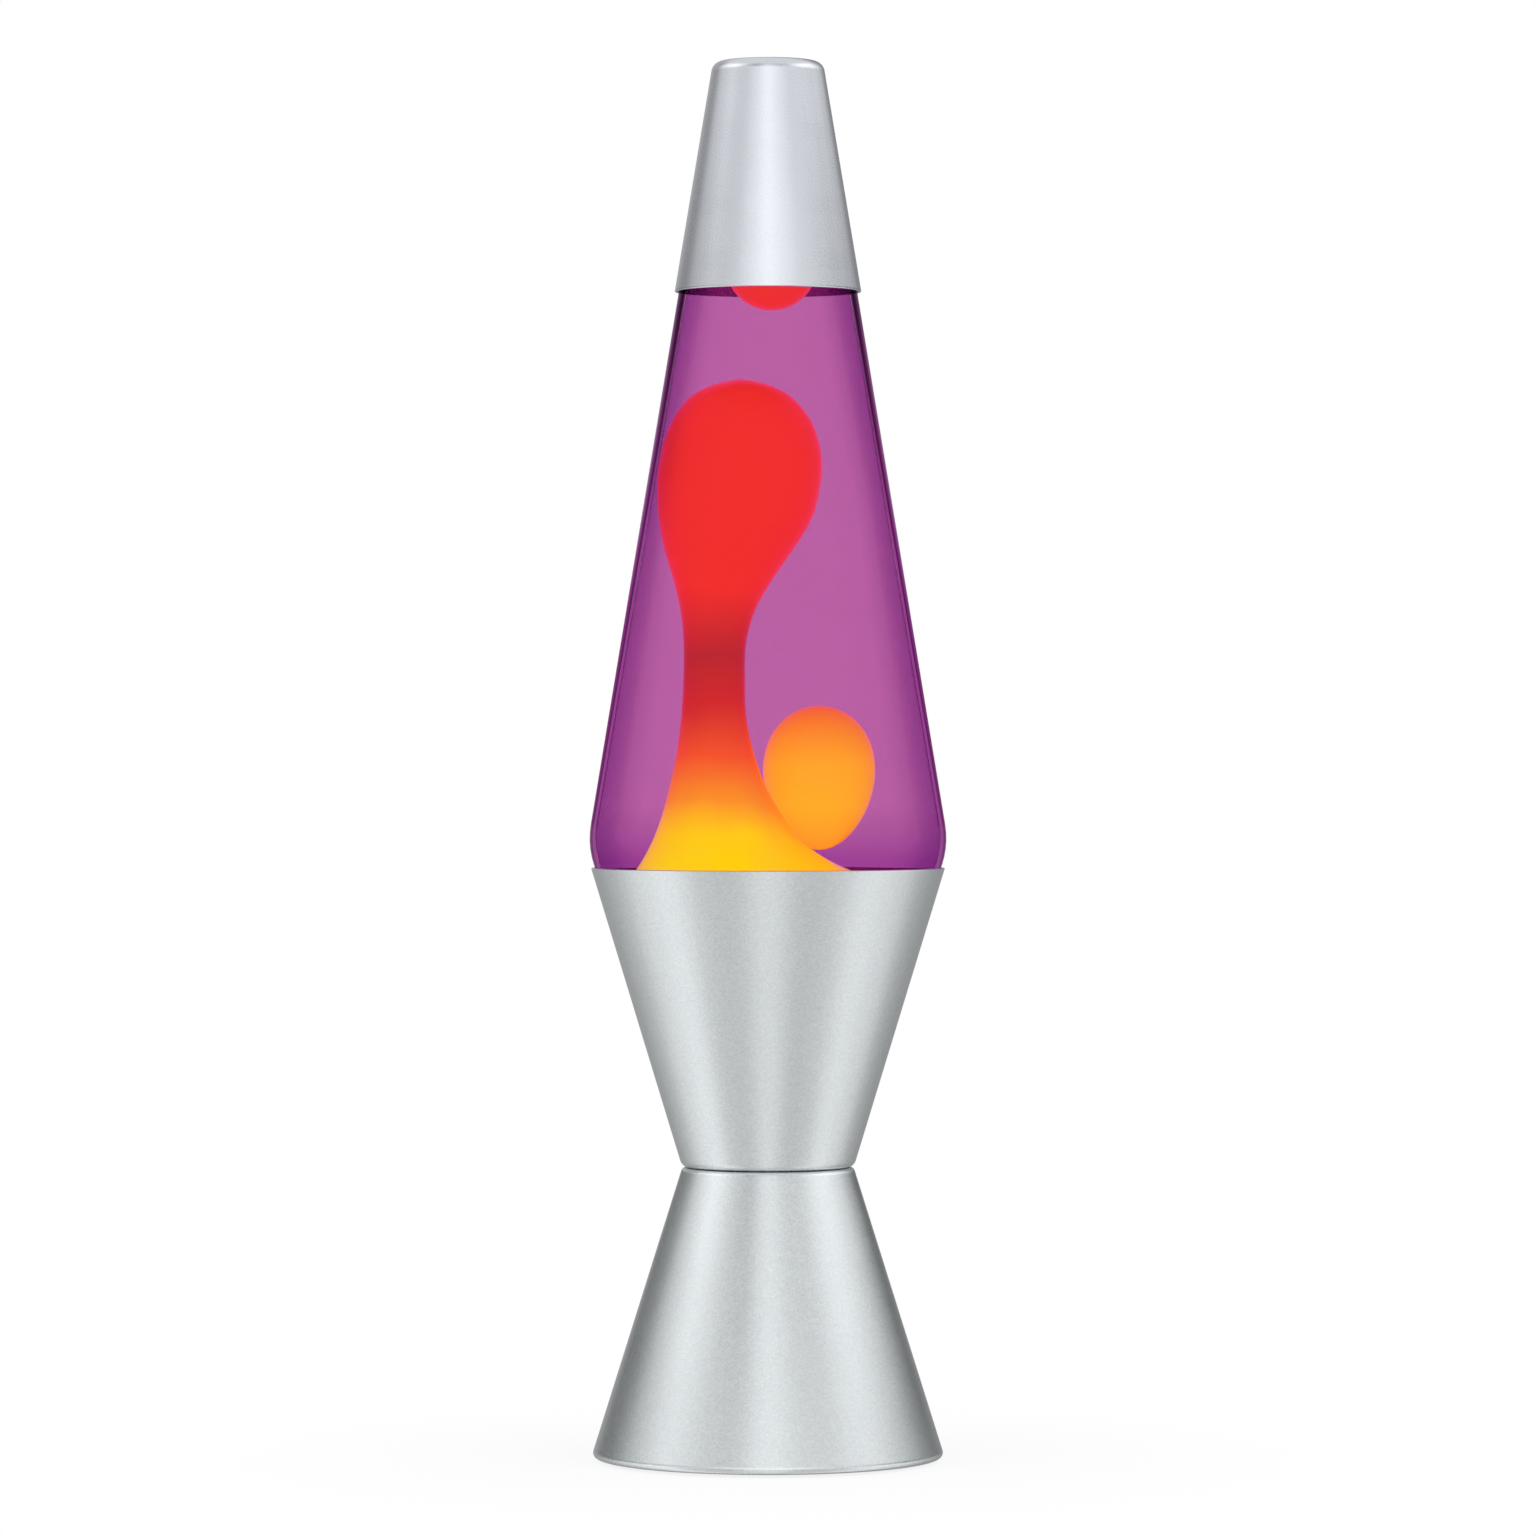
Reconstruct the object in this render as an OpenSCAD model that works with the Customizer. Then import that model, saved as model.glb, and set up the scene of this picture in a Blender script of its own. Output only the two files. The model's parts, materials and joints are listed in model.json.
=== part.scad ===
// Lava lamp: a spun hourglass base, a crown-capped globe of coloured liquid and wax, and a lift-off cap.
// Millimetres, +Z up. The origin is on the table, under the lamp's axis. The cord inlet faces +Y.

/* [Base] */
// Radius of the base at its rolled foot
foot_r = 46.1; // [45:0.1:48]
// Radius that the two cones' straight walls would reach at the waist
waist_r = 22.6; // [21.5:0.1:24]
// Height of the seam between the two cones
waist_z = 77; // [75:0.5:79]
// Radius of the upper cone at its rim
rim_r = 46.6; // [46.5:0.1:48]
// Height of the upper cone's rim
rim_z = 155.8; // [155:0.1:156.5]
// Thickness of the spun sheet of the base
base_wall = 0.7; // [0.6:0.05:0.8]
// Outside radius of the upper cone's rounded corner at the waist
upper_fillet = 2.6; // [1.5:0.1:3]
// Outside radius of the lower cone's rounded corner at the waist
lower_fillet = 1.2; // [1:0.1:3]

/* [Globe] */
// Largest radius of the glass, a little above the rim
globe_r = 47; // [46.8:0.1:47.1]
// Outside radius of the glass at the rim of the cap
globe_top_r = 23.5; // [23.2:0.1:23.6]
// Radius of the rounded heel that sits in the upper cone
heel_r = 22.3; // [21:0.1:22.5]
// Thickness of the glass
glass_wall = 2.4; // [2:0.1:2.8]
// Height of the push-up under the globe
punt_h = 4.5; // [3:0.5:5]
// Height that the liquid is filled to
fill_z = 330; // [327:1:333]

/* [Cap] */
// Height of the cap's rim
cap_rim_z = 307.6; // [307:0.1:308]
// Radius of the cap at its rim
cap_r = 24.6; // [24.6:0.1:25]
// Radius that the cap's straight wall would reach at its top
cap_top_r = 14.5; // [14:0.1:15]
// Height of the whole lamp
lamp_h = 368.3; // [367:0.1:370]
// Thickness of the cap's sheet
cap_wall = 0.7; // [0.6:0.05:0.75]

/* [Socket and bulb] */
// Height of the bulb's centre contact
tip_z = 62; // [61.5:0.1:62.5]
// Largest radius of the bulb's glass
bulb_r = 17.45; // [16:0.05:17.5]
// Crest radius of the bulb's screw thread
thread_r = 8.35; // [8.2:0.05:8.4]
// Depth of the rolled thread
thread_depth = 0.6; // [0.4:0.05:0.65]
// Pitch of the rolled thread
thread_pitch = 2.82; // [2.8:0.01:2.85]
// Outside radius of the lampholder
socket_r = 11.2; // [11:0.1:11.4]

/* [Underside] */
// Radius of the cord hole through the bushing
cord_hole_r = 3.2; // [2.8:0.1:3.4]
// Height of the bushing's centre on the wall
bushing_z = 13; // [12.5:0.5:16]
// Radius of the circle that the four foot pads lie on
pad_circle_r = 34; // [30:1:36]

/* [Hidden] */
$fn = 96;

// The base's straight walls and the rolled edge at its foot
edge_gap = 0.6;
curl_r = 1.3;
lower_angle = atan((foot_r - waist_r) / (waist_z - edge_gap - curl_r));
upper_angle = atan((rim_r - waist_r) / (rim_z - waist_z));
curl = [foot_r - curl_r, edge_gap + curl_r];
socket_hole_r = socket_r + 0.4;
rivet_circle_r = 16.2;
rivet_r = 1.6;

// The globe's outline: heel centre, cone and neck
heel_cz = 163.7;
heel_cr = globe_r - heel_r;
globe_angle = atan((globe_r - globe_top_r) / (cap_rim_z - heel_cz));
shoulder_z = 316;
neck_z = 334;
neck_r = 12.9;
lip_z = 346.5;
lip_r = 13.2;
skin = 0.06;
wax_gap = 0.25;

// The bulb stands on its tip: these are heights above the lampholder's parts
bulb_cz = tip_z + 41.2;
base_z0 = tip_z + 4;
base_z1 = tip_z + 20;
strap_z = 50;
socket_z0 = strap_z + 1;
socket_z1 = 85;
socket_floor_z = 60;
contact_gap = 0.15;

// Wax shapes
blob_at = [13.2, 15, 179.5];
blob_size = [14.5, 19];
top_blob_at = [0.9, 0, 314.2];
top_blob_size = [12, 11.6];

// The wax column from its crown down to its foot: height, sideways shift, radius
column_shape = [
    [284.6, -7, 0], [283.4, -7, 6.2], [280, -7, 13], [273, -6.8, 18.3], [264, -7, 20.9], [256, -7.6, 21.1],
    [248, -8.4, 19.9], [240, -10, 16.9], [232, -11.6, 13], [224, -12.9, 9.8], [215, -13.7, 8.1],
    [205, -13.9, 8], [196, -14, 8.4], [187, -13.7, 9.8], [178, -13.1, 12.2], [170, -11.9, 15.4],
    [163, -10.7, 19.2], [157, -7.6, 25.6], [153.6, -4, 32], [151.4, 0, 37.6]];

// Routes of the two insulated leads, from the lampholder's tabs to the splice caps
line_route = [[0, -9.9, 49], [0, -10, 46], [0.6, -10.8, 43], [2, -12, 40], [4.4, -13.2, 37], [7, -13.8, 34],
    [9, -14, 31], [10, -14, 28], [10, -14, 25]];
neutral_route = [[0, 10, 49], [0, 10.1, 46], [-0.8, 10.7, 43], [-2.6, 11.3, 40], [-5.4, 11.8, 37],
    [-8.4, 12, 34], [-10.4, 12, 31], [-11, 12, 28], [-11, 12, 25]];
lead_r = 1.1;
splice_mouth_z = 28;

// ---- Outlines ----

function arc(centre, r, from, to, steps = 8) =
    [for (i = [0:steps]) let (a = from + (to - from) * i / steps) centre + r * [cos(a), sin(a)]];
function reversed(points) = [for (i = [len(points) - 1:-1:0]) points[i]];
function left_of(a, b) = [a[1] - b[1], b[0] - a[0]] / norm(b - a);

// The rounded corner between a cone's wall, which leans in at an angle, and a level face at height z.
// The wall is below the face where side is -1, and above it where side is 1.
function corner_arc(r, z, fillet, angle, side) =
    arc([r - fillet * (1 / cos(angle) - tan(angle)), z + side * fillet], fillet,
        -side * angle, -side * 90);

// The outline shifted to its left by t, mitred at its corners; a point on the axis stays on it
function shifted(points, t) =
    [for (i = [0:len(points) - 1])
        let (last = len(points) - 1,
            before = left_of(points[max(i, 1) - 1], points[max(i, 1)]),
            after = left_of(points[min(i, last - 1)], points[min(i, last - 1) + 1]),
            mid = points[i][0] == 0 ? [0, sign(before[1])] : (before + after) / norm(before + after))
        points[i] + mid * t / (mid * before)];
function sheet(points, t) = concat(points, reversed(shifted(points, t)));

module spun(points) {
    rotate_extrude() polygon(points);
}

module ring(outer, inner, from, to) {
    translate([0, 0, from]) difference() {
        cylinder(r = outer, h = to - from);
        translate([0, 0, -1]) cylinder(r = inner, h = to - from + 2);
    }
}

module rod(r, from, to) {
    translate([0, 0, from]) cylinder(r = r, h = to - from);
}

// ---- Solids swept from rings of points ----

// Points along a smooth curve through the given ones, steps to each span
function eased(a, b, c, d, t) =
    b + t / 2 * (c - a + t * (2 * a - 5 * b + 4 * c - d + t * (3 * (b - c) + d - a)));
function smooth(p, steps) =
    concat([for (i = [0:len(p) - 2], k = [0:steps - 1])
        eased(p[max(i - 1, 0)], p[i], p[i + 1], p[min(i + 2, len(p) - 1)], k / steps)], [p[len(p) - 1]]);

// Faces between rings of n points, and the two end faces
function band(rings, n, first = 0) =
    [for (i = [0:rings - 2], k = [0:n - 1], half = [0, 1])
        let (a = first + i * n + k, b = first + i * n + (k + 1) % n)
        half == 0 ? [a, b, b + n] : [a, b + n, a + n]];
module skinned(rings) {
    n = len(rings[0]);
    last = len(rings) - 1;
    polyhedron(points = [for (r = rings) each r],
        faces = concat(band(len(rings), n), [[for (k = [n - 1:-1:0]) k]],
            [[for (k = [0:n - 1]) last * n + k]]));
}

function unit(v) = v / norm(v);
// Rings across a path of points, square to it
function tube_rings(path, r, n) =
    [for (i = [0:len(path) - 1])
        let (t = unit(path[min(i + 1, len(path) - 1)] - path[max(i - 1, 0)]),
            u = unit(cross(t, abs(t[2]) > 0.9 ? [1, 0, 0] : [0, 0, 1])), v = cross(t, u))
        [for (k = [0:n - 1]) path[i] + r * (cos(-360 * k / n) * u + sin(-360 * k / n) * v)]];

// A closed loop of wire: its rings join end to end
module wire_loop(path, r, n) {
    count = len(path);
    rings = [for (i = [0:count - 1])
        let (t = unit(path[(i + 1) % count] - path[(i + count - 1) % count]),
            u = unit(cross(t, [path[i][0], path[i][1], 0])), v = cross(t, u))
        for (k = [0:n - 1]) path[i] + r * (cos(-360 * k / n) * u + sin(-360 * k / n) * v)];
    polyhedron(points = rings,
        faces = [for (i = [0:count - 1], k = [0:n - 1], half = [0, 1])
            let (a = i * n + k, b = i * n + (k + 1) % n, c = ((i + 1) % count) * n + k,
                d = ((i + 1) % count) * n + (k + 1) % n)
            half == 0 ? [a, b, d] : [a, d, c]]);
}

// A tube whose outside and inside are rings of points, which may differ in number
module ringed_tube(outside, inside) {
    n = len(outside[0]);
    first = len(outside) * n;
    last_out = first - n;
    last_in = first + (len(inside) - 1) * n;
    ends = [for (k = [0:n - 1]) let (j = (k + 1) % n)
        each [[first + k, first + j, j], [first + k, j, k],
            [last_out + k, last_out + j, last_in + j], [last_out + k, last_in + j, last_in + k]]];
    polyhedron(points = concat([for (r = outside) each r], [for (r = inside) each r]),
        faces = concat(band(len(outside), n), [for (f = band(len(inside), n, first)) reversed(f)],
            ends));
}

function circle_points(r, z, n, shift = 0) =
    [for (k = [0:n - 1]) [shift + r * cos(-360 * k / n), r * sin(-360 * k / n), z]];

// A right-hand rolled thread: the share of its depth at an angle and height
function crest(angle, z) = (1 + cos(angle - 360 * z / thread_pitch)) / 2;
function thread_ring(low_r, depth, z, fade, n) =
    [for (k = [0:n - 1]) let (a = -360 * k / n, r = low_r + depth * crest(a, z) * fade)
        [r * cos(a), r * sin(a), z]];

// ---- Base ----

lower_outline = concat(
    arc(curl, curl_r, -205, lower_angle, 14),
    corner_arc(waist_r, waist_z, lower_fillet, lower_angle, -1),
    [[socket_hole_r, waist_z]]);
upper_outline = concat(
    [[socket_hole_r, waist_z]],
    reversed(corner_arc(waist_r, waist_z, upper_fillet, upper_angle, 1)),
    [[rim_r, rim_z]]);

module rivet_places() {
    for (a = [0:90:270]) rotate(a) translate([rivet_circle_r, 0, 0]) children();
}

module bushing_place() {
    wall_r = foot_r - (bushing_z - curl[1]) * tan(lower_angle);
    translate([0, wall_r, bushing_z]) rotate([lower_angle - 90, 0, 0]) children();
}

module lower_cone() {
    color("silver") difference() {
        spun(sheet(lower_outline, base_wall));
        rivet_places() rod(rivet_r + 0.1, waist_z - 2, waist_z + 2);
        bushing_place() rod(5.2, -6, 6);
    }
}

module upper_cone() {
    color("silver") difference() {
        spun(sheet(upper_outline, base_wall));
        rivet_places() rod(rivet_r + 0.1, waist_z - 2, waist_z + 2);
    }
}

// The two rivets on X also hold the strap, so their grip is longer
module rivet(grip) {
    top = waist_z + base_wall;
    rod(rivet_r, top - grip, top);
    translate([0, 0, top]) intersection() {
        rod(2.8, 0, 1.2);
        translate([0, 0, -2.9]) sphere(r = 4.1);
    }
    rod(2.4, top - grip - 1.3, top - grip);
}

module waist_rivets() {
    color("silver") for (a = [0:90:270])
        rotate(a) translate([rivet_circle_r, 0, 0]) rivet(2 * base_wall + (a % 180 == 0 ? 1 : 0));
}

plate_r = curl[0] - curl_r - 0.3;
module slot(length, width) {
    square([length - width, width], center = true);
    for (end = [-1, 1]) translate([end * (length - width) / 2, 0]) circle(d = width);
}

module bottom_plate() {
    color("dimgray") {
        difference() {
            rod(plate_r, 1.6, 3.2);
            translate([0, 0, 1]) linear_extrude(height = 3) for (a = [0:30:330])
                rotate(a) translate([18, 0]) slot(12, 2.6);
        }
        ring(plate_r, plate_r - 1.5, 3.2, 5.3);
        for (a = [0:60:300]) rotate(a) intersection() {
            ring(plate_r + 1.1, plate_r - 0.5, curl[1] + curl_r + 0.1, 5.3);
            translate([plate_r, 0, 5]) cube([6, 9, 3], center = true);
        }
    }
}

module foot_pads() {
    color("black") for (a = [45:90:315]) rotate(a) translate([pad_circle_r, 0, 0]) rod(5.5, 0, 1.6);
}

// Moulded bushing that snaps into the lower cone's wall, its groove around the sheet
module cord_bushing() {
    color("black") bushing_place() difference() {
        spun([[0, -5], [5.9, -5], [6.4, -2.4], [6.4, -1.5], [5, -1.5], [5, 0.5], [6.9, 0.5], [6.9, 1.3],
            [6.2, 2.3], [0, 2.3]]);
        rod(cord_hole_r, -7, 4);
    }
}

// ---- Lampholder ----

module socket_strap() {
    leg_x = socket_r + 1;
    color("lightgray") difference() {
        union() {
            translate([-leg_x - 1, -5, strap_z]) cube([2 * leg_x + 2, 10, 1]);
            for (side = [0, 180]) rotate(side) {
                translate([leg_x, -5, strap_z]) cube([1, 10, waist_z - base_wall - strap_z]);
                translate([leg_x, -5, waist_z - base_wall - 1]) cube([7.6, 10, 1]);
            }
        }
        for (side = [-1, 1]) {
            translate([side * rivet_circle_r, 0, 0]) rod(rivet_r + 0.1, 70, 80);
            translate([side * 6, 0, 0]) rod(1.6, strap_z - 1, strap_z + 2);
        }
    }
}

module socket_screws() {
    color("gold") for (side = [-1, 1]) translate([side * 6, 0, 0]) {
        rod(1.4, strap_z, strap_z + 7);
        difference() {
            rod(2.7, strap_z - 1.8, strap_z);
            translate([0, 0, strap_z - 1.8]) cube([8, 0.7, 1.6], center = true);
        }
    }
}

module socket_body() {
    color("white") difference() {
        union() {
            rod(socket_r, socket_z0, socket_z1);
            rod(socket_r + 1.8, waist_z + base_wall, waist_z + base_wall + 2);
        }
        rod(9.4, socket_floor_z, socket_z1 + 1);
        for (side = [-1, 1]) {
            translate([side * 6, 0, 0]) rod(1.5, socket_z0 - 1, strap_z + 8);
            translate([0, side * 8.4, 55]) cube([5.4, 1.2, 14], center = true);
        }
    }
}

thread_from = base_z0 + 1;
thread_to = base_z1 - 1.5;
function thread_heights(from, to) = [for (z = [from:thread_pitch / 8:to]) z];
function fade_in(z, from, to) = min(1, max(0, (z - from) / 1.4)) * min(1, max(0, (to - z) / 1.4));

// The shell's thread stays a quarter of a millimetre outside the bulb's, and opens out at both ends
module socket_screw_shell() {
    n = 32;
    low = base_z0 - 2.3;
    high = socket_z1 - 1;
    open_r = thread_r + 0.25;
    inside = concat([circle_points(open_r, low, n)],
        [for (z = thread_heights(thread_from, thread_to))
            let (f = fade_in(z, thread_from, thread_to))
            [for (k = [0:n - 1])
                let (a = -360 * k / n, r = open_r - thread_depth * (1 - crest(a, z)) * f)
                [r * cos(a), r * sin(a), z]]],
        [circle_points(open_r, high, n)]);
    color("goldenrod")
        ringed_tube([circle_points(open_r + 0.45, low, n), circle_points(open_r + 0.45, high, n)], inside);
}

// One bronze strip: a solder tab through the floor, and a sprung tongue folded under the bulb's tip
tongue_bend = (tip_z - contact_gap - socket_floor_z) / 2;
module centre_contact() {
    color("peru") translate([-2.4, 0, 0]) rotate([90, 0, 90]) linear_extrude(height = 4.8)
        polygon(sheet(concat([[-8.2, 45], [-8.2, socket_floor_z]],
            arc([0, socket_floor_z + tongue_bend], tongue_bend, -90, 90, 10),
            [[-4, tip_z - contact_gap - 0.6]]), 0.5));
}

module shell_contact() {
    color("peru") translate([-2.4, 8.2, 45]) cube([4.8, 0.6, base_z0 - 2.3 - 45]);
}

// ---- Leads ----

module lead(route) {
    skinned(tube_rings(smooth(route, 2), lead_r, 8));
}

module lead_line() {
    color("black") lead(line_route);
}

module lead_neutral() {
    color("white") lead(neutral_route);
}

module splice_cap(route) {
    end = route[len(route) - 1];
    translate([end[0], end[1], splice_mouth_z]) spun(sheet([[0, -16], [1.6, -16], [2.3, -15.2], [2.6, -9],
        [3.3, -7.5], [3.6, 0]], 0.7));
}

module splice_caps() {
    color("ivory") {
        splice_cap(line_route);
        splice_cap(neutral_route);
    }
}

// ---- Bulb ----

module bulb_tip() {
    color("silver") translate([0, 0, tip_z]) intersection() {
        rod(3, 0, 1.1);
        translate([0, 0, 4.6]) sphere(r = 4.6);
    }
}

module bulb_insulator() {
    color("black") spun([[0, tip_z + 1.1], [3.2, tip_z + 1.1], [7, base_z0 - 0.6], [7, base_z0], [0, base_z0]]);
}

module bulb_screw_base() {
    n = 32;
    low_r = thread_r - thread_depth;
    heights = thread_heights(thread_from, thread_to);
    color("gainsboro") ringed_tube(concat([circle_points(low_r - 0.3, base_z0, n)],
        [for (z = heights) thread_ring(low_r, thread_depth, z, fade_in(z, thread_from, thread_to), n)],
        [circle_points(low_r, base_z1, n)]),
        [circle_points(low_r - 0.6, base_z0, n), circle_points(low_r - 0.6, base_z1, n)]);
}

bulb_outline = concat([[6.3, base_z1 - 4], [6.9, base_z1 - 0.4], [7.15, bulb_cz - 20.2]],
    arc([0, bulb_cz], bulb_r, -35, 90, 20));
module bulb_envelope() {
    color("white", 0.4) spun(sheet(bulb_outline, 0.6));
}

module bulb_stem() {
    color("white", 0.5) {
        spun([[0, base_z1 - 4], [5.5, base_z1 - 4], [5.5, base_z1 - 3], [3, base_z1 - 1], [2.4, base_z1 + 6],
            [0, base_z1 + 6]]);
        translate([-2.6, -0.9, base_z1 + 6]) cube([5.2, 1.8, 4]);
    }
}

filament_z = bulb_cz + 2;
filament_x = 7;
module bulb_supports() {
    start_z = base_z1 + 10.05;
    color("gray") for (side = [-1, 1]) skinned(tube_rings(
        [[side * 1.8, 0, start_z], [side * 2, 0, start_z + 3], [side * 4.4, 0, start_z + 7],
            [side * filament_x, 0, filament_z]], 0.3, 8));
}

module bulb_filament() {
    turns = 14;
    per_turn = 6;
    last = turns * per_turn;
    color("orange") skinned(tube_rings([for (i = [0:last])
        let (share = i / last, a = 360 * i / per_turn)
        [filament_x * (1 - 2 * share), 0.7 * sin(a), filament_z + 0.4 + 1.8 * sin(180 * share) + 0.7 * cos(a)]],
        0.18, 6));
}

// ---- Globe ----

heel_centre = [heel_cr, heel_cz];
cone_start = heel_centre + heel_r * [cos(globe_angle), sin(globe_angle)];
cone_slope = (cone_start[0] - globe_top_r) / (cap_rim_z - cone_start[1]);
shoulder_r = globe_top_r - cone_slope * (shoulder_z - cap_rim_z);
function punt(r) = punt_h * (1 + cos(180 * min(1, r / heel_cr))) / 2;
globe_bottom = heel_cz - heel_r;
globe_outline = concat(
    [for (i = [0:7]) let (r = heel_cr * i / 8) [r, globe_bottom + punt(r)]],
    arc(heel_centre, heel_r, -90, globe_angle, 18),
    [for (i = [0:8]) [neck_r + (shoulder_r - neck_r) * (1 + cos(180 * i / 8)) / 2,
        shoulder_z + (neck_z - shoulder_z) * i / 8]]);

module globe_glass() {
    wall = concat(globe_outline, [[neck_r, lip_z]]);
    lip = [[neck_r, lip_z - 7.5], [lip_r, lip_z - 6.5], [lip_r, lip_z - 1.2], [lip_r - 0.5, lip_z]];
    color("white", 0.3) spun(concat(globe_outline, lip, reversed(shifted(wall, glass_wall))));
}

module crown_cap() {
    skirt_z = lip_z - 4.6;
    top_z = lip_z + 1.2;
    color("silver") {
        translate([0, 0, skirt_z]) linear_extrude(height = 4.6) difference() {
            union() {
                circle(r = 14.6);
                for (a = [0:360 / 21:359]) rotate(a) translate([14.7, 0]) circle(r = 1.1);
            }
            circle(r = lip_r + 0.7);
        }
        spun(sheet([[14.6, lip_z], [14.5, top_z - 0.9], [13.7, top_z], [0, top_z]], 0.3));
        spun([[13.9, lip_z - 0.6], [14.6, lip_z - 0.6], [14.6, lip_z + 0.1], [14.25, lip_z + 0.1]]);
    }
}

module crown_liner() {
    color("lightblue") rod(12.6, lip_z + 0.02, lip_z + 0.86);
}

// The liquid fills the glass up to its level, and leaves room for the wax
module liquid() {
    inner = shifted(globe_outline, glass_wall + skin);
    color("purple", 0.6) difference() {
        rotate_extrude($fn = 40) difference() {
            polygon(concat(inner, [[neck_r - glass_wall - skin, lip_z], [0, lip_z]]));
            translate([-1, fill_z]) square([60, 60]);
        }
        column_room();
        blob_solid(blob_at, blob_size + [wax_gap, wax_gap], $fn = 40);
        blob_solid(top_blob_at, top_blob_size + [wax_gap, wax_gap], $fn = 40);
    }
}

// The column's foot spreads into a pool that lies on the glass, a skin above it
pool_z = 150.6;
function pool_floor(r) = r < heel_cr
    ? globe_bottom + 1.045 * glass_wall + 3 * skin + punt(r)
    : heel_cz - sqrt(pow(heel_r - glass_wall - skin, 2) - pow(r - heel_cr, 2));
foot_rings = [for (r = [38.3, 36.5, 33, 28, 22, 17, 12.5, 8.5, 4.5, 0.4]) [pool_floor(r), 0, r]];
column_n = 24;
module column_solid() {
    outline = concat(smooth(column_shape, 2), foot_rings);
    skinned([for (p = reversed(outline)) circle_points(max(p[2], 0.4), p[0], column_n, p[1])]);
}

// The room that the column takes in the liquid: a little larger, and it runs out through the bottom
module column_room() {
    outline = concat([[globe_bottom, 0, globe_r], [pool_z, 0, globe_r]], reversed(smooth(column_shape, 2)));
    skinned([for (p = outline) circle_points(max(p[2], 0.4) + wax_gap,
        p[0] + (p[2] < 0.4 ? wax_gap : 0), column_n, p[1])]);
}

module blob_solid(at, size) {
    translate(at) spun(concat([[0, -size[1]]], [for (a = [-80:10:80]) [size[0] * cos(a), size[1] * sin(a)]],
        [[0, size[1]]]));
}

module wax_column() {
    color("orangered") column_solid();
}

module wax_blob() {
    color("orange") blob_solid(blob_at, blob_size);
}

module wax_top_blob() {
    color("red") blob_solid(top_blob_at, top_blob_size);
}

// Steel spring bent to a ring, which lies in the wax at the bottom of the globe
module wax_coil() {
    turns = 26;
    per_turn = 8;
    count = turns * per_turn;
    color("silver") wire_loop([for (i = [0:count - 1])
        let (around = 360 * i / count, a = 360 * i / per_turn, r = 19.5 + 2.7 * cos(a))
        [r * cos(around), r * sin(around), 148.6 + 2.7 * sin(a)]], 0.4, 6);
}

// ---- Cap ----

cap_angle = atan((cap_r - cap_top_r) / (lamp_h - cap_rim_z));
cap_fillet = 3;
cap_outline = concat([[cap_r, cap_rim_z]],
    corner_arc(cap_top_r, lamp_h, cap_fillet, cap_angle, -1),
    [[0, lamp_h]]);
module cap() {
    color("silver") spun(sheet(cap_outline, cap_wall));
}

lower_cone();
upper_cone();
waist_rivets();
bottom_plate();
foot_pads();
cord_bushing();
socket_strap();
socket_screws();
socket_body();
socket_screw_shell();
centre_contact();
shell_contact();
lead_line();
lead_neutral();
splice_caps();
bulb_tip();
bulb_insulator();
bulb_screw_base();
bulb_envelope();
bulb_stem();
bulb_supports();
bulb_filament();
globe_glass();
crown_cap();
crown_liner();
liquid();
wax_column();
wax_coil();
wax_blob();
wax_top_blob();
cap();
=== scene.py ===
"""A lava lamp: its looks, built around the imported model, in metres."""
import json
import math
from collections import defaultdict

import bmesh
import bpy
from bpy.props import FloatProperty, FloatVectorProperty, IntProperty, PointerProperty
from mathutils import Matrix, Vector


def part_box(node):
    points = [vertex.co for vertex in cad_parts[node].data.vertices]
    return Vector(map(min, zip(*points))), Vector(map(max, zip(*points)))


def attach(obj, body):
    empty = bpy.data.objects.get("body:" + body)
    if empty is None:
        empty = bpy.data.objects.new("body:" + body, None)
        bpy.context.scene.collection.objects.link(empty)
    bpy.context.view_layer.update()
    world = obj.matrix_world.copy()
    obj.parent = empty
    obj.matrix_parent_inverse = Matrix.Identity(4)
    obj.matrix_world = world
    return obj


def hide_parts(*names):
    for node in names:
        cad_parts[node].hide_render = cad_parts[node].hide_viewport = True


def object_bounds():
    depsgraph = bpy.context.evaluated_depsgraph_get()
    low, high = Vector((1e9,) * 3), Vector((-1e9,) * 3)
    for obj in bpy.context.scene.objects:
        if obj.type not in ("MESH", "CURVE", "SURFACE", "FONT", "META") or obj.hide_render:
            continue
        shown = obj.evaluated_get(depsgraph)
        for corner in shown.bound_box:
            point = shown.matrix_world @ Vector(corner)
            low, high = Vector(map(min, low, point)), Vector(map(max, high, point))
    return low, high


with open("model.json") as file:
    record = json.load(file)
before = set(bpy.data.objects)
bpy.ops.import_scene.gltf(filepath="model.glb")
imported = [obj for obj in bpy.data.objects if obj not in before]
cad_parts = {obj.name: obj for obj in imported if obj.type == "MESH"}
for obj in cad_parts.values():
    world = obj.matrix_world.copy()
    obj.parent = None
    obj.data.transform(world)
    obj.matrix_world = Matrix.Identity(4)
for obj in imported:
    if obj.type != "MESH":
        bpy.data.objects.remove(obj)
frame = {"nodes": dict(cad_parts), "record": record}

bl_info = {
    "name": "Lava lamp",
    "version": (1, 0, 0),
    "blender": (4, 5, 0),
    "location": "3D View > Sidebar > Lava lamp",
    "description": "Builds a lava lamp's visible pieces around its engineering model",
    "category": "Object",
}

CAD_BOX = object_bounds()
MM = 0.001


def tone(red, green, blue):
    """A screen colour, 0 to 255 a channel, as linear light."""
    return tuple(((c / 255 + 0.055) / 1.055) ** 2.4 if c > 10 else c / 255 / 12.92
                 for c in (red, green, blue))


# ---- Sizes and colours that a user would change ----

def length_property(name, description, default):
    return FloatProperty(name=name, description=description, default=default, min=0.0,
                         unit="LENGTH", precision=5)


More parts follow.
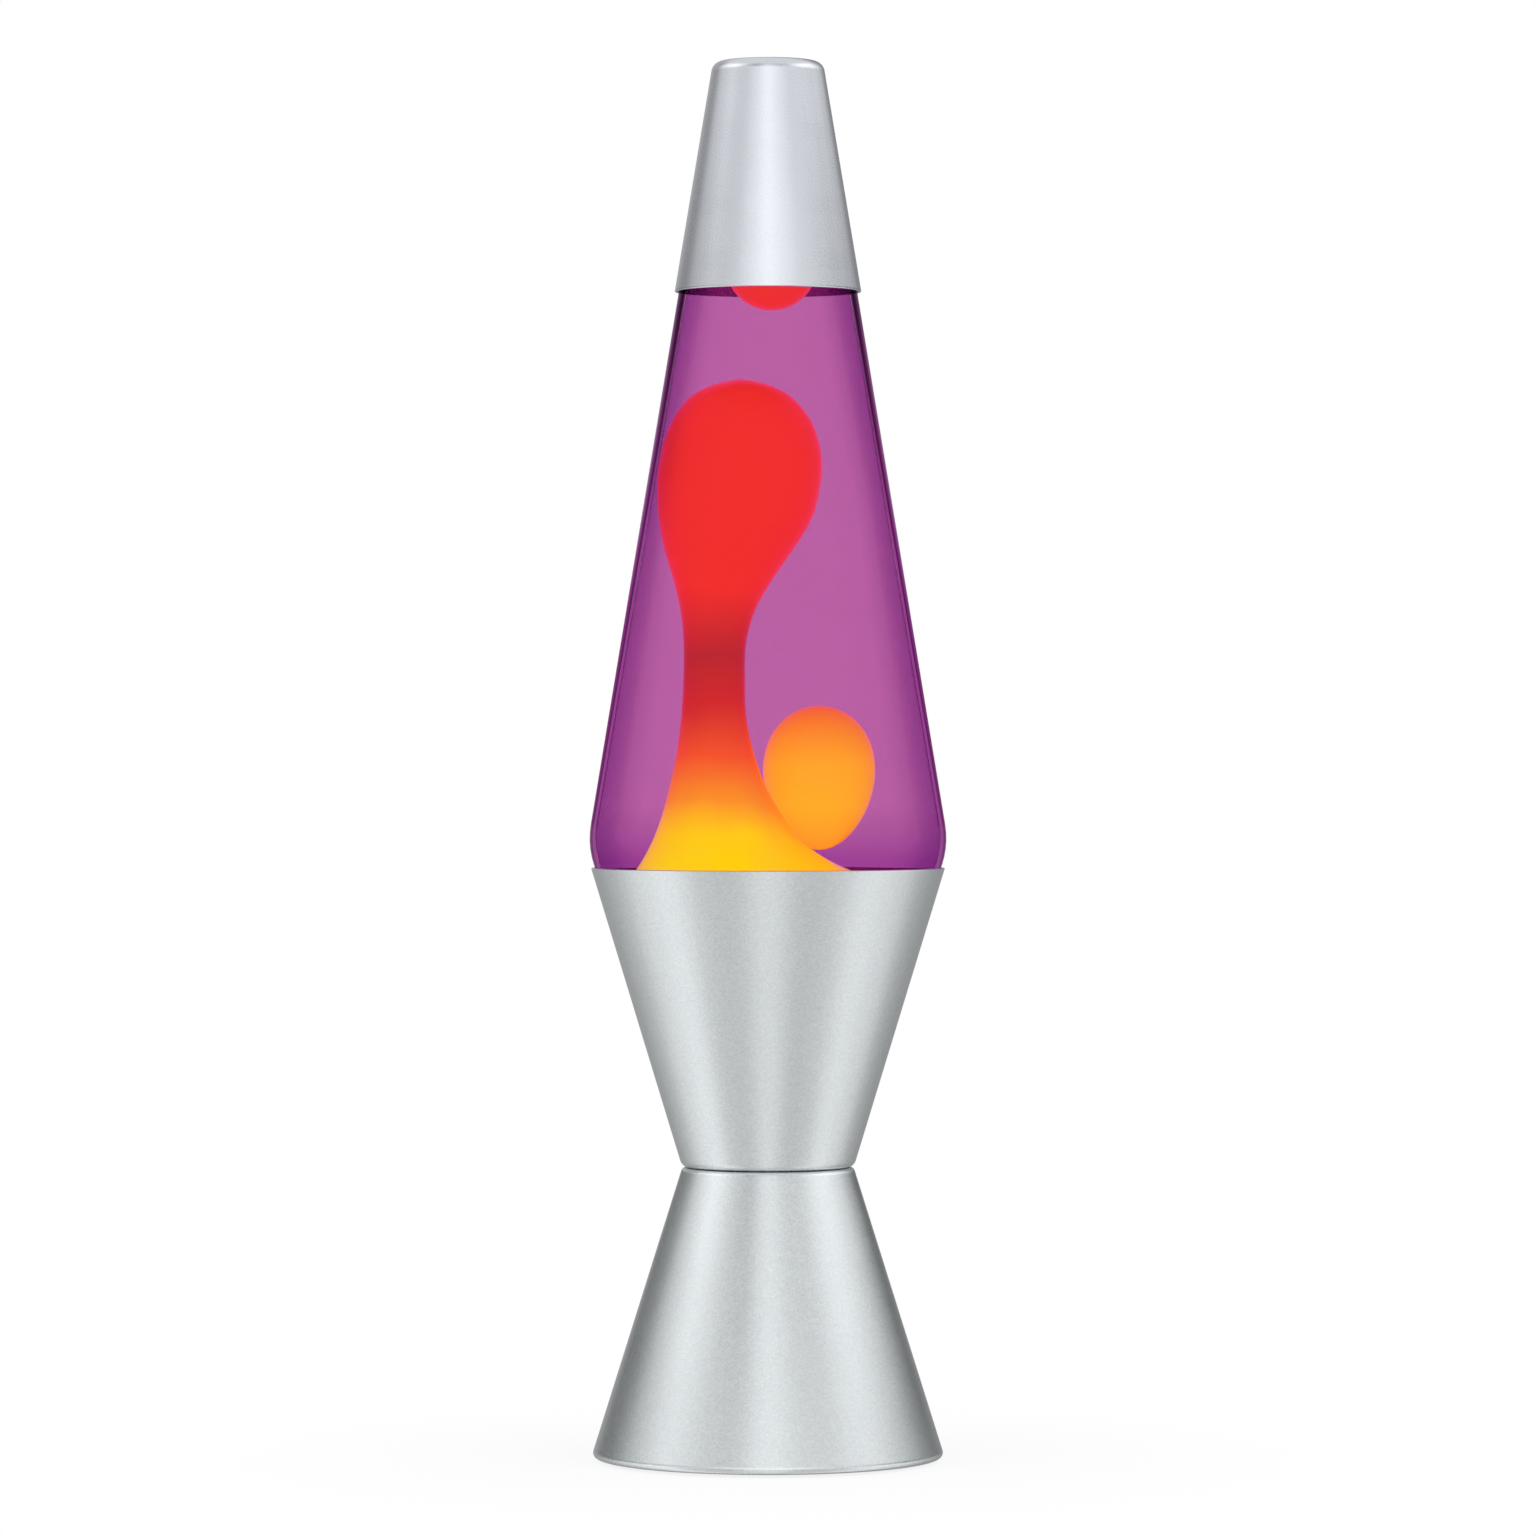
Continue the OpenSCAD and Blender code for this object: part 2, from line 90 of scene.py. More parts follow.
def colour_property(name, description, default):
    return FloatVectorProperty(name=name, description=description, default=default, size=3,
                               min=0.0, max=4.0, subtype="COLOR")


class LampSizes(bpy.types.PropertyGroup):
    """Sizes of the details that the engineering model leaves plain."""
    around: IntProperty(name="Facets around", description="Facets round a turned piece", default=160, min=48)
    edge: length_property("Edge rounding", "Radius left on a pressed or turned edge", 0.15 * MM)
    rivet_ring: length_property("Rivet circle", "Radius of the circle that the waist's rivets stand on",
                                16.2 * MM)
    pad_ring: length_property("Pad circle", "Radius of the circle that the foot pads stand on", 34 * MM)
    thread_pitch: length_property("Thread pitch", "Rise of the lampholder's rolled thread in a turn",
                                  2.82 * MM)
    thread_depth: length_property("Thread depth", "Depth of the lampholder's rolled thread", 0.6 * MM)
    crown_flutes: IntProperty(name="Crown flutes", description="Pinches round the bottle closure's skirt",
                              default=21, min=3)
    coil_turns: IntProperty(name="Wax coil turns", description="Turns in the wire ring that sits in the wax",
                            default=52, min=3)
    filament_turns: IntProperty(name="Filament turns", description="Turns in the bulb's filament",
                                default=26, min=3)


class LampColours(bpy.types.PropertyGroup):
    """Colours of the finishes, and of the glow and shade painted into the wax and the liquid."""
    base_metal: colour_property("Base aluminium", "Grained aluminium of the two cones", (0.79, 0.83, 0.845))
    cap_metal: colour_property("Cap aluminium", "Satin aluminium of the cap", (0.76, 0.785, 0.84))
    liquid_front: colour_property("Liquid, near side", "What the near side of the liquid lets through",
                                  (0.80, 0.50, 0.72))
    liquid_back: colour_property("Liquid, far side", "What the far side of the liquid lets through",
                                 (0.63, 0.245, 0.53))
    # Painted shade: the liquid is darkened towards this colour where it is seen edge on
    liquid_edge_shade: colour_property("Liquid edge", "Share of its light that the liquid keeps seen edge on",
                                 (0.50, 0.30, 0.60))
    # The wax's three glows are painted light from the bulb, with painted shade darkest in the column's neck
    wax_bulb_lit: colour_property("Wax, hot", "Glow of the wax by the bulb", tone(255, 224, 8))
    wax_half_lit: colour_property("Wax, warm", "Glow of the wax a little above the base", tone(249, 146, 41))
    wax_shaded: colour_property("Wax, cool", "Glow of the wax in the column's neck", tone(182, 40, 47))


class StageSettings(bpy.types.PropertyGroup):
    """Camera, light and floor."""
    camera_distance: length_property("Camera distance", "From the lamp's axis to the camera", 1.81)
    camera_height: length_property("Camera height", "Height of the camera above the floor", 0.190)
    aim_height: length_property("Aim height", "Height that the camera looks at", 0.1822)
    focal_length: FloatProperty(name="Focal length", description="Of the camera's lens, in millimetres",
                                default=161.0, min=20.0)
    light: FloatProperty(name="Studio light", description="Strength of the soft boxes", default=1.0, min=0.0)
    floor_colour: colour_property("Floor", "Colour of the plain floor", (0.86, 0.86, 0.86))


# ---- Node trees ----

class Wiring:
    """Adds nodes to one tree; each value given to a node is a plain value or another node's socket."""

    def __init__(self, tree):
        self.tree = tree

    def add(self, kind, inputs=None, **settings):
        node = self.tree.nodes.new(kind)
        for key, value in settings.items():
            setattr(node, key, value)
        for key, value in (inputs or {}).items():
            if isinstance(value, bpy.types.NodeSocket):
                self.tree.links.new(value, node.inputs[key])
            else:
                node.inputs[key].default_value = value
        return node

    def math(self, operation, *values, clamp=False):
        return self.add("ShaderNodeMath", dict(enumerate(values)), operation=operation,
                        use_clamp=clamp).outputs[0]

    def vector(self, operation, *values):
        node = self.add("ShaderNodeVectorMath", dict(enumerate(values)), operation=operation)
        return node.outputs["Value" if operation in ("LENGTH", "DOT_PRODUCT") else "Vector"]

    def scale(self, vector, factor):
        node = self.add("ShaderNodeVectorMath", {0: vector, "Scale": factor}, operation="SCALE")
        return node.outputs["Vector"]

    def xyz(self, x, y, z):
        return self.add("ShaderNodeCombineXYZ", {0: x, 1: y, 2: z}).outputs[0]

    def parts(self, vector):
        return self.add("ShaderNodeSeparateXYZ", {0: vector}).outputs

    def between(self, value, low, high, to_low=0.0, to_high=1.0):
        """The value's place between low and high, as a number from to_low to to_high."""
        return self.add("ShaderNodeMapRange", {"Value": value, "From Min": low, "From Max": high,
                                               "To Min": to_low, "To Max": to_high}).outputs[0]

    def mix(self, share, first, second, blend="MIX"):
        def full(colour):
            return (*colour, 1.0) if isinstance(colour, tuple) and len(colour) == 3 else colour
        node = self.add("ShaderNodeMix", {0: share}, data_type="RGBA", blend_type=blend)
        for slot, value in ((6, full(first)), (7, full(second))):
            if isinstance(value, bpy.types.NodeSocket):
                self.tree.links.new(value, node.inputs[slot])
            else:
                node.inputs[slot].default_value = value
        return node.outputs[2]

    def ramp(self, share, stops, smooth=False):
        """A colour for each share from 0 to 1; a stop is its place and its colour or its grey."""
        node = self.add("ShaderNodeValToRGB", {0: share})
        elements = node.color_ramp.elements
        node.color_ramp.interpolation = "EASE" if smooth else "LINEAR"
        while len(elements) < len(stops):
            elements.new(0.5)
        for element, (place, colour) in zip(elements, stops):
            element.position = place
            element.color = (*colour, 1.0) if isinstance(colour, tuple) else (colour, colour, colour, 1.0)
        return node.outputs[0]


SOCKETS = {float: "NodeSocketFloat", int: "NodeSocketInt", tuple: "NodeSocketVector"}


def with_sockets(tree, inputs, outputs):
    """Gives a tree its named inputs and outputs: {name: default or socket type}."""
    for where, sockets in (("INPUT", inputs), ("OUTPUT", outputs)):
        for name, value in sockets.items():
            kind = value if isinstance(value, str) else SOCKETS[type(value)]
            made = tree.interface.new_socket(name=name, in_out=where, socket_type=kind)
            if not isinstance(value, str):
                made.default_value = value
    wire = Wiring(tree)
    return wire, wire.add("NodeGroupInput").outputs, wire.add("NodeGroupOutput").inputs


def shape_tree(name, inputs):
    tree = bpy.data.node_groups.new(name, "GeometryNodeTree")
    tree.is_modifier = True
    return with_sockets(tree, {"Geometry": "NodeSocketGeometry", **inputs, "Material": "NodeSocketMaterial"},
                        {"Geometry": "NodeSocketGeometry"})


def close_tree(wire, given, result, geometry):
    """The end that every shape tree has: one real mesh, smooth, in its material."""
    smooth = wire.add("GeometryNodeSetShadeSmooth", {"Geometry": geometry}).outputs[0]
    real = wire.add("GeometryNodeRealizeInstances", {"Geometry": smooth}).outputs[0]
    finished = wire.add("GeometryNodeSetMaterial", {"Geometry": real, "Material": given["Material"]}).outputs[0]
    wire.tree.links.new(finished, result["Geometry"])


def spun_shell_tree():
    """Turns an outline round the Z axis.

    A point of the outline is its radius, its ring's shift along X, and its height.
    Waves round it make flutes, and waves with a twist make a thread.
    """
    wire, given, result = shape_tree("Spun shell", {
        "Segments": 160, "Waves": 0, "Wave depth": 0.0, "Twist": 0.0, "Wave low": 0.0, "Wave high": 1.0,
        "Wave fade": 0.001})
    size = wire.add("GeometryNodeAttributeDomainSize", {"Geometry": given["Geometry"]}).outputs["Point Count"]
    columns = wire.math("ADD", given["Segments"], 1.0)
    grid = wire.add("GeometryNodeMeshGrid", {"Vertices X": columns, "Vertices Y": size}).outputs["Mesh"]
    index = wire.add("GeometryNodeInputIndex").outputs[0]
    column = wire.math("FLOOR", wire.math("DIVIDE", wire.math("ADD", index, 0.5), size))
    row = wire.math("SUBTRACT", index, wire.math("MULTIPLY", column, size))
    place = wire.add("GeometryNodeInputPosition").outputs[0]
    outline = wire.add("GeometryNodeSampleIndex", {"Geometry": given["Geometry"], "Index": row},
                       data_type="FLOAT_VECTOR", domain="POINT")
    wire.tree.links.new(place, outline.inputs["Value"])
    radius, shift, height = wire.parts(outline.outputs[0])
    angle = wire.math("MULTIPLY", wire.math("DIVIDE", column, given["Segments"]), math.tau)
    phase = wire.math("SUBTRACT", wire.math("MULTIPLY", angle, given["Waves"]),
                      wire.math("MULTIPLY", height, given["Twist"]))
    crest = wire.math("MULTIPLY_ADD", wire.math("COSINE", phase), 0.5, 0.5)
    above = wire.math("SUBTRACT", height, given["Wave low"])
    below = wire.math("SUBTRACT", given["Wave high"], height)
    rise = wire.math("DIVIDE", above, given["Wave fade"], clamp=True)
    fall = wire.math("DIVIDE", below, given["Wave fade"], clamp=True)
    depth = wire.math("MULTIPLY", crest, given["Wave depth"])
    wave = wire.math("MULTIPLY", wire.math("MULTIPLY", rise, fall), depth)
    reach = wire.math("ADD", radius, wave)
    spot = wire.xyz(wire.math("ADD", shift, wire.math("MULTIPLY", reach, wire.math("COSINE", angle))),
                    wire.math("MULTIPLY", reach, wire.math("SINE", angle)), height)
    moved = wire.add("GeometryNodeSetPosition", {"Geometry": grid, "Position": spot}).outputs[0]
    welded = wire.add("GeometryNodeMergeByDistance", {"Geometry": moved, "Distance": 1e-6}).outputs[0]
    close_tree(wire, given, result, welded)
    return wire.tree


def wound_wire_tree():
    """Winds a round wire about the path it is given."""
    wire, given, result = shape_tree("Wound wire", {
        "Turns": 10, "Points a turn": 12, "Coil radius": 0.001, "Wire radius": 0.0002, "Facets": 6})
    path = wire.add("GeometryNodeMeshToCurve", {"Mesh": given["Geometry"]}).outputs[0]
    count = wire.math("MULTIPLY", given["Turns"], given["Points a turn"])
    even = wire.add("GeometryNodeResampleCurve", {"Curve": path, "Count": count}, mode="COUNT").outputs[0]
    angle = wire.math("MULTIPLY", wire.add("GeometryNodeInputIndex").outputs[0],
                      wire.math("DIVIDE", math.tau, given["Points a turn"]))
    along = wire.add("GeometryNodeInputTangent").outputs[0]
    side = wire.vector("NORMALIZE", wire.vector("CROSS_PRODUCT", along, (0.0, 0.0, 1.0)))
    up = wire.vector("CROSS_PRODUCT", side, along)
    offset = wire.vector("ADD", wire.scale(side, wire.math("COSINE", angle)),
                         wire.scale(up, wire.math("SINE", angle)))
    reach = wire.scale(offset, given["Coil radius"])
    wound = wire.add("GeometryNodeSetPosition", {"Geometry": even, "Offset": reach}).outputs[0]
    section = wire.add("GeometryNodeCurvePrimitiveCircle", {"Resolution": given["Facets"],
                                                            "Radius": given["Wire radius"]}).outputs[0]
    solid = wire.add("GeometryNodeCurveToMesh", {"Curve": wound, "Profile Curve": section,
                                                 "Fill Caps": True}).outputs[0]
    close_tree(wire, given, result, solid)
    return wire.tree


def ring_of_parts_tree():
    """Repeats a part round the Z axis."""
    wire, given, result = shape_tree("Ring of parts", {"Count": 4, "Ring radius": 0.01, "First angle": 0.0})
    outward = wire.xyz(given["Ring radius"], 0.0, 0.0)
    part = wire.add("GeometryNodeTransform", {"Geometry": given["Geometry"],
                                              "Translation": outward}).outputs[0]
    places = wire.add("GeometryNodeMeshLine", {"Count": given["Count"], "Offset": (0.0, 0.0, 0.0)}).outputs[0]
    index = wire.add("GeometryNodeInputIndex").outputs[0]
    step = wire.math("DIVIDE", math.tau, given["Count"])
    turn = wire.math("ADD", given["First angle"], wire.math("MULTIPLY", index, step))
    ring = wire.add("GeometryNodeInstanceOnPoints", {"Points": places, "Instance": part,
                                                     "Rotation": wire.xyz(0.0, 0.0, turn)}).outputs[0]
    close_tree(wire, given, result, ring)
    return wire.tree


# ---- Outlines read from the engineering model ----

# Places in a metre: vertices that round to the same one belong to the same ring
RING_GRID = 1e5
# A bend of more than this is a corner, which gets rounded
SHARP_BEND = math.radians(28)
# A straight run longer than this gets points near its ends and along it
LONG_RUN = 3 * MM
RUN_MARGIN = 0.4 * MM
RUN_STEP = 8 * MM


def rings_of(node, least, offset_rings):
    """The rings of a turned node: each vertex's ring, and each ring's (radius, shift, height)."""
    mesh = frame["nodes"][node].data
    key = []
    for vertex in mesh.vertices:
        x, y, z = vertex.co
        far = 0 if offset_rings else round(math.hypot(x, y) * RING_GRID)
        key.append((far, round(z * RING_GRID)))
    members = defaultdict(set)
    for vertex, ring in zip(mesh.vertices, key):
        members[ring].add(tuple(round(c, 7) for c in vertex.co))
    kept = {}
    for ring, places in members.items():
        if offset_rings and len(places) >= least:
            shift = (min(p[0] for p in places) + max(p[0] for p in places)) / 2
            reach = (max(p[0] for p in places) - min(p[0] for p in places)) / 2
            kept[ring] = (reach, shift, ring[1] / RING_GRID)
        elif not offset_rings and (len(places) >= least or ring[0] == 0):
            kept[ring] = (ring[0] / RING_GRID, 0.0, ring[1] / RING_GRID)
    return mesh, key, kept


def meridian(node, least=24, offset_rings=False):
    """A turned node's outline in order, anticlockwise in the plane of radius and height.

    Rings of fewer than the least number of vertices are left out. Offset rings may each have a
    centre of their own along X.
    """
    mesh, key, kept = rings_of(node, least, offset_rings)
    near = defaultdict(set)
    for edge in mesh.edges:
        a, b = (key[i] for i in edge.vertices)
        if a != b and a in kept and b in kept:
            near[a].add(b)
            near[b].add(a)
    ends = [ring for ring in near if len(near[ring]) == 1 or (ring[0] == 0 and not offset_rings)]
    start = min(ends, key=lambda ring: ring[1]) if ends else min(near, key=lambda ring: (ring[1], ring[0]))
    walk, last = [start], None
    while True:
        onward = [ring for ring in near[walk[-1]] if ring != last and ring not in walk[1:]]
        if walk[-1][0] == 0 and len(walk) > 1 and not offset_rings:
            break
        if not onward:
            break
        nearest = min(onward, key=lambda ring: (ring == start, math.dist(ring, walk[-1])))
        last = walk[-1]
        walk.append(nearest)
        if nearest == start:
            break
    if len(walk) < 2:
        raise RuntimeError(f"{node} has no outline to turn")
    points = [kept[ring] for ring in walk]
    if not offset_rings and walk[0] != walk[-1]:
        flats = [(0.0, 0.0, point[2]) for point in (points[0], points[-1])]
        points = ([flats[0]] if points[0][0] else []) + points + ([flats[1]] if points[-1][0] else [])
    area = sum(a[0] * b[2] - b[0] * a[2] for a, b in zip(points, points[1:] + points[:1]))
    return points if area > 0 else points[::-1]


def lerp(a, b, share):
    return tuple(p + (q - p) * share for p, q in zip(a, b))


def worked(points, edge):
    """An outline with its sharp corners rounded, and points beside each bend so that flats shade flat."""
    closed = math.dist(points[0], points[-1]) < 1e-9
    ring = points[:-1] if closed else points
    count = len(ring)
    rounded = []
    for i, point in enumerate(ring):
        if not closed and i in (0, count - 1):
            rounded.append(point)
            continue
        before, after = ring[i - 1], ring[(i + 1) % count]
        a, b = Vector(point) - Vector(before), Vector(after) - Vector(point)
        if a.length < 1e-9 or b.length < 1e-9:
            continue
        if a.angle(b) < SHARP_BEND:
            rounded.append(point)
            continue
        start = lerp(point, before, min(edge, 0.4 * a.length) / a.length)
        end = lerp(point, after, min(edge, 0.4 * b.length) / b.length)
        for share in (0.0, 0.25, 0.5, 0.75, 1.0):
            rounded.append(lerp(lerp(start, point, share), lerp(point, end, share), share))
    if closed:
        rounded.append(rounded[0])
    dense = [rounded[0]]
    for a, b in zip(rounded, rounded[1:]):
        span = math.dist(a, b)
        if span > LONG_RUN:
            margin = RUN_MARGIN / span
            steps = max(1, round(span / RUN_STEP))
            dense += [lerp(a, b, margin + (1 - 2 * margin) * k / steps) for k in range(steps + 1)]
        dense.append(b)
    return dense


def softened(points, steps):
    """A free-form outline with extra points on a smooth curve through the given ones."""
    last = len(points) - 1
    result = []
    for i in range(last):
        a, b, c, d = (Vector(points[min(max(k, 0), last)]) for k in (i - 1, i, i + 1, i + 2))
        slope, bend, twist = c - a, 2 * a - 5 * b + 4 * c - d, 3 * (b - c) + d - a
        for k in range(steps):
            t = k / steps
            result.append(tuple(b + t / 2 * (slope + t * (bend + t * twist))))
    return result + [points[-1]]


# ---- Making and keeping pieces ----

# Shape trees and materials by name, once they are built
TREES = {}
MATERIALS = {}
# Edges sharper than the first are bevelled, and those sharper than the second stay sharp in the shading
BEVEL_ANGLE = math.radians(35)
CREASE_ANGLE = math.radians(50)


def outline_mesh(points):
    mesh = bpy.data.meshes.new("outline")
    mesh.from_pydata([tuple(p) for p in points], [(i, i + 1) for i in range(len(points) - 1)], [])
    return mesh


def grown(name, tree, mesh, material, values):
    """The plain piece that a shape tree makes from a mesh."""
    source = bpy.data.objects.new(name + "_source", mesh)
    bpy.context.scene.collection.objects.link(source)
    modifier = source.modifiers.new("Shape", "NODES")
    modifier.node_group = TREES[tree]
    for item in TREES[tree].interface.items_tree:
        if item.in_out == "INPUT" and item.name in values:
            modifier[item.identifier] = values[item.name]
        elif item.in_out == "INPUT" and item.name == "Material":
            modifier[item.identifier] = material
    made = bpy.data.meshes.new_from_object(source.evaluated_get(bpy.context.evaluated_depsgraph_get()))
    if not made.polygons:
        raise RuntimeError(f"{name} came out empty")
    bpy.data.objects.remove(source)
    made.name = name
    piece = bpy.data.objects.new(name, made)
    bpy.context.scene.collection.objects.link(piece)
    return piece


def turned(name, points, material, around=None, **waves):
    """A piece spun from an outline; the waves are the tree's own, such as wave_depth."""
    sizes = bpy.context.scene.lamp_sizes
    values = {key.replace("_", " ").capitalize(): value for key, value in waves.items()}
    return grown(name, "Spun shell", outline_mesh(points), material,
                 {"Segments": around or sizes.around, **values})


def applied(piece):
    """Puts a piece's modifiers into its mesh."""
    made = bpy.data.meshes.new_from_object(piece.evaluated_get(bpy.context.evaluated_depsgraph_get()))
    piece.modifiers.clear()
    piece.data = made
    return piece


def refined(name, node, material, bevel, divide):
    """A merged copy of a CAD node, its edges bevelled or its curves made finer."""
    work = bmesh.new()
    work.from_mesh(frame["nodes"][node].data)
    bmesh.ops.remove_doubles(work, verts=work.verts, dist=2e-6)
    if bevel:
        bmesh.ops.dissolve_limit(work, angle_limit=math.radians(1), verts=work.verts, edges=work.edges)
    mesh = bpy.data.meshes.new(name)
    work.to_mesh(mesh)
    work.free()
    mesh.materials.clear()
    mesh.materials.append(material)
    for polygon in mesh.polygons:
        polygon.use_smooth = True
        polygon.material_index = 0
    piece = bpy.data.objects.new(name, mesh)
    bpy.context.scene.collection.objects.link(piece)
    if bevel:
        worn = piece.modifiers.new("Worn edge", "BEVEL")
        worn.width, worn.segments, worn.limit_method = bevel, 2, "ANGLE"
        worn.angle_limit, worn.use_clamp_overlap = BEVEL_ANGLE, True
        worn.harden_normals = True
    if divide:
        finer = piece.modifiers.new("Finer", "SUBSURF")
        finer.levels = finer.render_levels = divide
    applied(piece)
    if bevel:
        piece.data.set_sharp_from_angle(angle=CREASE_ANGLE)
    return piece


def keep(piece, body, *nodes, slot):
    """The piece rides on a body and stands for its CAD nodes, which it hides; the slot is not used."""
    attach(piece, body)
    if nodes:
        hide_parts(*nodes)
    return piece


def finished(name, node, material, slot, body="base", bevel=0.0, divide=0):
    """A refined CAD node that stands in its own place."""
    return keep(refined(name, node, MATERIALS[material], bevel, divide), body, node, slot=slot)


# ---- Shader groups ----

def shader_group(name, inputs, outputs):
    return with_sockets(bpy.data.node_groups.new(name, "ShaderNodeTree"), inputs, outputs)


def grain_group():
    """Fine crystals of rolled or blasted metal, each catching the light a little differently."""
    wire, given, result = shader_group("Metal grain", {"Vector": "NodeSocketVector", "Cells a metre": 2400.0},
                                       {"Sparkle": "NodeSocketFloat", "Height": "NodeSocketFloat"})
    cells = wire.add("ShaderNodeTexVoronoi", {"Vector": given["Vector"], "Scale": given["Cells a metre"]})
    speck = wire.parts(cells.outputs["Color"])[0]
    fine = wire.add("ShaderNodeTexNoise", {"Vector": given["Vector"], "Scale": wire.math(
        "MULTIPLY", given["Cells a metre"], 0.6), "Detail": 3.0}).outputs[0]
    half_speck = wire.math("MULTIPLY", speck, 0.5)
    wire.tree.links.new(wire.math("MULTIPLY_ADD", fine, 0.5, half_speck), result["Sparkle"])
    wire.tree.links.new(wire.math("ADD", half_speck, fine), result["Height"])
    return wire.tree


def turning_group():
    """Lines left round a spun piece by the roller, and slow changes along it."""
    wire, given, result = shader_group(
        "Turning lines", {"Vector": "NodeSocketVector", "Lines a metre": 2500.0},
        {"Lines": "NodeSocketFloat", "Drift": "NodeSocketFloat"})
    x, y, z = wire.parts(given["Vector"])
    far = wire.math("SQRT", wire.math("ADD", wire.math("MULTIPLY", x, x), wire.math("MULTIPLY", y, y)))
    track = wire.xyz(wire.math("MULTIPLY", far, given["Lines a metre"]), wire.math(
        "MULTIPLY", z, given["Lines a metre"]), 0.0)
    lines = wire.add("ShaderNodeTexNoise", {"Vector": track, "Scale": 1.0, "Detail": 2.0}).outputs[0]
    drift = wire.add("ShaderNodeTexNoise", {"Vector": given["Vector"], "Scale": 35.0, "Detail": 2.0}).outputs[0]
    wire.tree.links.new(lines, result["Lines"])
    wire.tree.links.new(drift, result["Drift"])
    return wire.tree


def smudge_group():
    """Handling marks and settled dust, as a mask."""
    wire, given, result = shader_group(
        "Handling marks", {"Vector": "NodeSocketVector", "Patches a metre": 60.0, "Amount": 0.5},
        {"Mask": "NodeSocketFloat"})
    broad = wire.add("ShaderNodeTexNoise", {"Vector": given["Vector"], "Scale": given["Patches a metre"],
                                            "Detail": 4.0, "Roughness": 0.6}).outputs[0]
    fine = wire.add("ShaderNodeTexNoise", {"Vector": given["Vector"], "Scale": wire.math(
        "MULTIPLY", given["Patches a metre"], 14.0), "Detail": 2.0}).outputs[0]
    both = wire.math("MULTIPLY", wire.between(broad, 0.4, 0.7), wire.between(fine, 0.3, 0.7))
    wire.tree.links.new(wire.math("MULTIPLY", both, given["Amount"]), result["Mask"])
    return wire.tree


def band_group():
    """A soft-edged band between two heights, as a mask."""
    wire, given, result = shader_group("Height band", {"Vector": "NodeSocketVector", "Low": 0.0, "High": 0.1,
                                                       "Fade": 0.005}, {"Mask": "NodeSocketFloat"})
    height = wire.parts(given["Vector"])[2]
    rise = wire.math("DIVIDE", wire.math("SUBTRACT", height, given["Low"]), given["Fade"], clamp=True)
    fall = wire.math("DIVIDE", wire.math("SUBTRACT", given["High"], height), given["Fade"], clamp=True)
    wire.tree.links.new(wire.math("MULTIPLY", rise, fall), result["Mask"])
    return wire.tree


def moulding_group():
    """The slight orange peel and fine pores of a moulded or fired surface."""
    wire, given, result = shader_group("Moulded skin", {"Vector": "NodeSocketVector", "Pores a metre": 2500.0},
                                       {"Height": "NodeSocketFloat", "Mottle": "NodeSocketFloat"})
    pores = wire.add("ShaderNodeTexNoise", {"Vector": given["Vector"], "Scale": given["Pores a metre"],
                                            "Detail": 3.0}).outputs[0]
    mottle = wire.add("ShaderNodeTexNoise", {"Vector": given["Vector"], "Scale": wire.math(
        "MULTIPLY", given["Pores a metre"], 0.04), "Detail": 3.0}).outputs[0]
    wire.tree.links.new(pores, result["Height"])
    wire.tree.links.new(mottle, result["Mottle"])
    return wire.tree


# Shader groups by name, once they are built
GROUPS = {}


class Finish(Wiring):
    """A material being built: its Object coordinates, its Principled shader and its groups."""

    def __init__(self, name, **settings):
        made = bpy.data.materials.new(name)
        made.use_nodes = True
        super().__init__(made.node_tree)
        self.tree.nodes.clear()
        self.made = made
        self.place = self.add("ShaderNodeTexCoord").outputs["Object"]
        self.shader = self.add("ShaderNodeBsdfPrincipled")
        self.out = self.add("ShaderNodeOutputMaterial", {"Surface": self.shader.outputs[0]})
        for key, value in settings.items():
            self.set(key.replace("_", " "), value)

    def set(self, socket, value):
        """Feeds one of the shader's sockets, named by its words in lower case."""
        target = next(s for s in self.shader.inputs if s.name.lower() == socket.lower())
        if isinstance(value, bpy.types.NodeSocket):
            self.tree.links.new(value, target)
        else:
            target.default_value = (*value, 1.0) if isinstance(value, tuple) and len(value) == 3 \
                and target.type == "RGBA" else value
        return self

    def group(self, name, **inputs):
        node = self.add("ShaderNodeGroup", node_tree=GROUPS[name])
        for key, value in {"vector": self.place, **inputs}.items():
            target = next(s for s in node.inputs if s.name.lower() == key.replace("_", " "))
            if isinstance(value, bpy.types.NodeSocket):
                self.tree.links.new(value, target)
            else:
                target.default_value = value
        return node.outputs

    def relief(self, height, strength, distance):
        bump = self.add("ShaderNodeBump", {"Strength": strength, "Distance": distance, "Height": height})
        return self.set("normal", bump.outputs[0])

    def done(self):
        MATERIALS[self.made.name] = self.made
        return self.made


def scaled(colour, share):
    return tuple(c * share for c in colour)


def metal(name, colour, roughness, grain=2400.0, depth=0.25, sparkle=0.16, lines=0.0, marks=0.4):
    """A bare metal: crystals, turning lines and handling marks."""
    finish = Finish(name, metallic=1.0)
    crystal = finish.group("Metal grain", cells_a_metre=grain)
    track = finish.group("Turning lines")
    mask = finish.group("Handling marks", amount=marks)["Mask"]
    tint = finish.mix(finish.between(crystal["Sparkle"], 0.25, 0.75), scaled(colour, 1 - sparkle),
                      scaled(colour, 1 + sparkle * 0.7))
    tint = finish.mix(finish.between(track["Drift"], 0.3, 0.7, 0.0, 0.25), tint, scaled(colour, 0.93))
    finish.set("base color", finish.mix(finish.math("MULTIPLY", mask, 0.3), tint, scaled(colour, 0.82)))
    rough = finish.math("ADD", roughness - 0.03, finish.math("MULTIPLY", mask, 0.12))
    finish.set("roughness", finish.math("MULTIPLY_ADD", crystal["Sparkle"], 0.06, rough))
    height = finish.math("MULTIPLY_ADD", track["Lines"], lines, crystal["Height"])
    finish.relief(height, depth, 0.03 * MM)
    return finish.done()


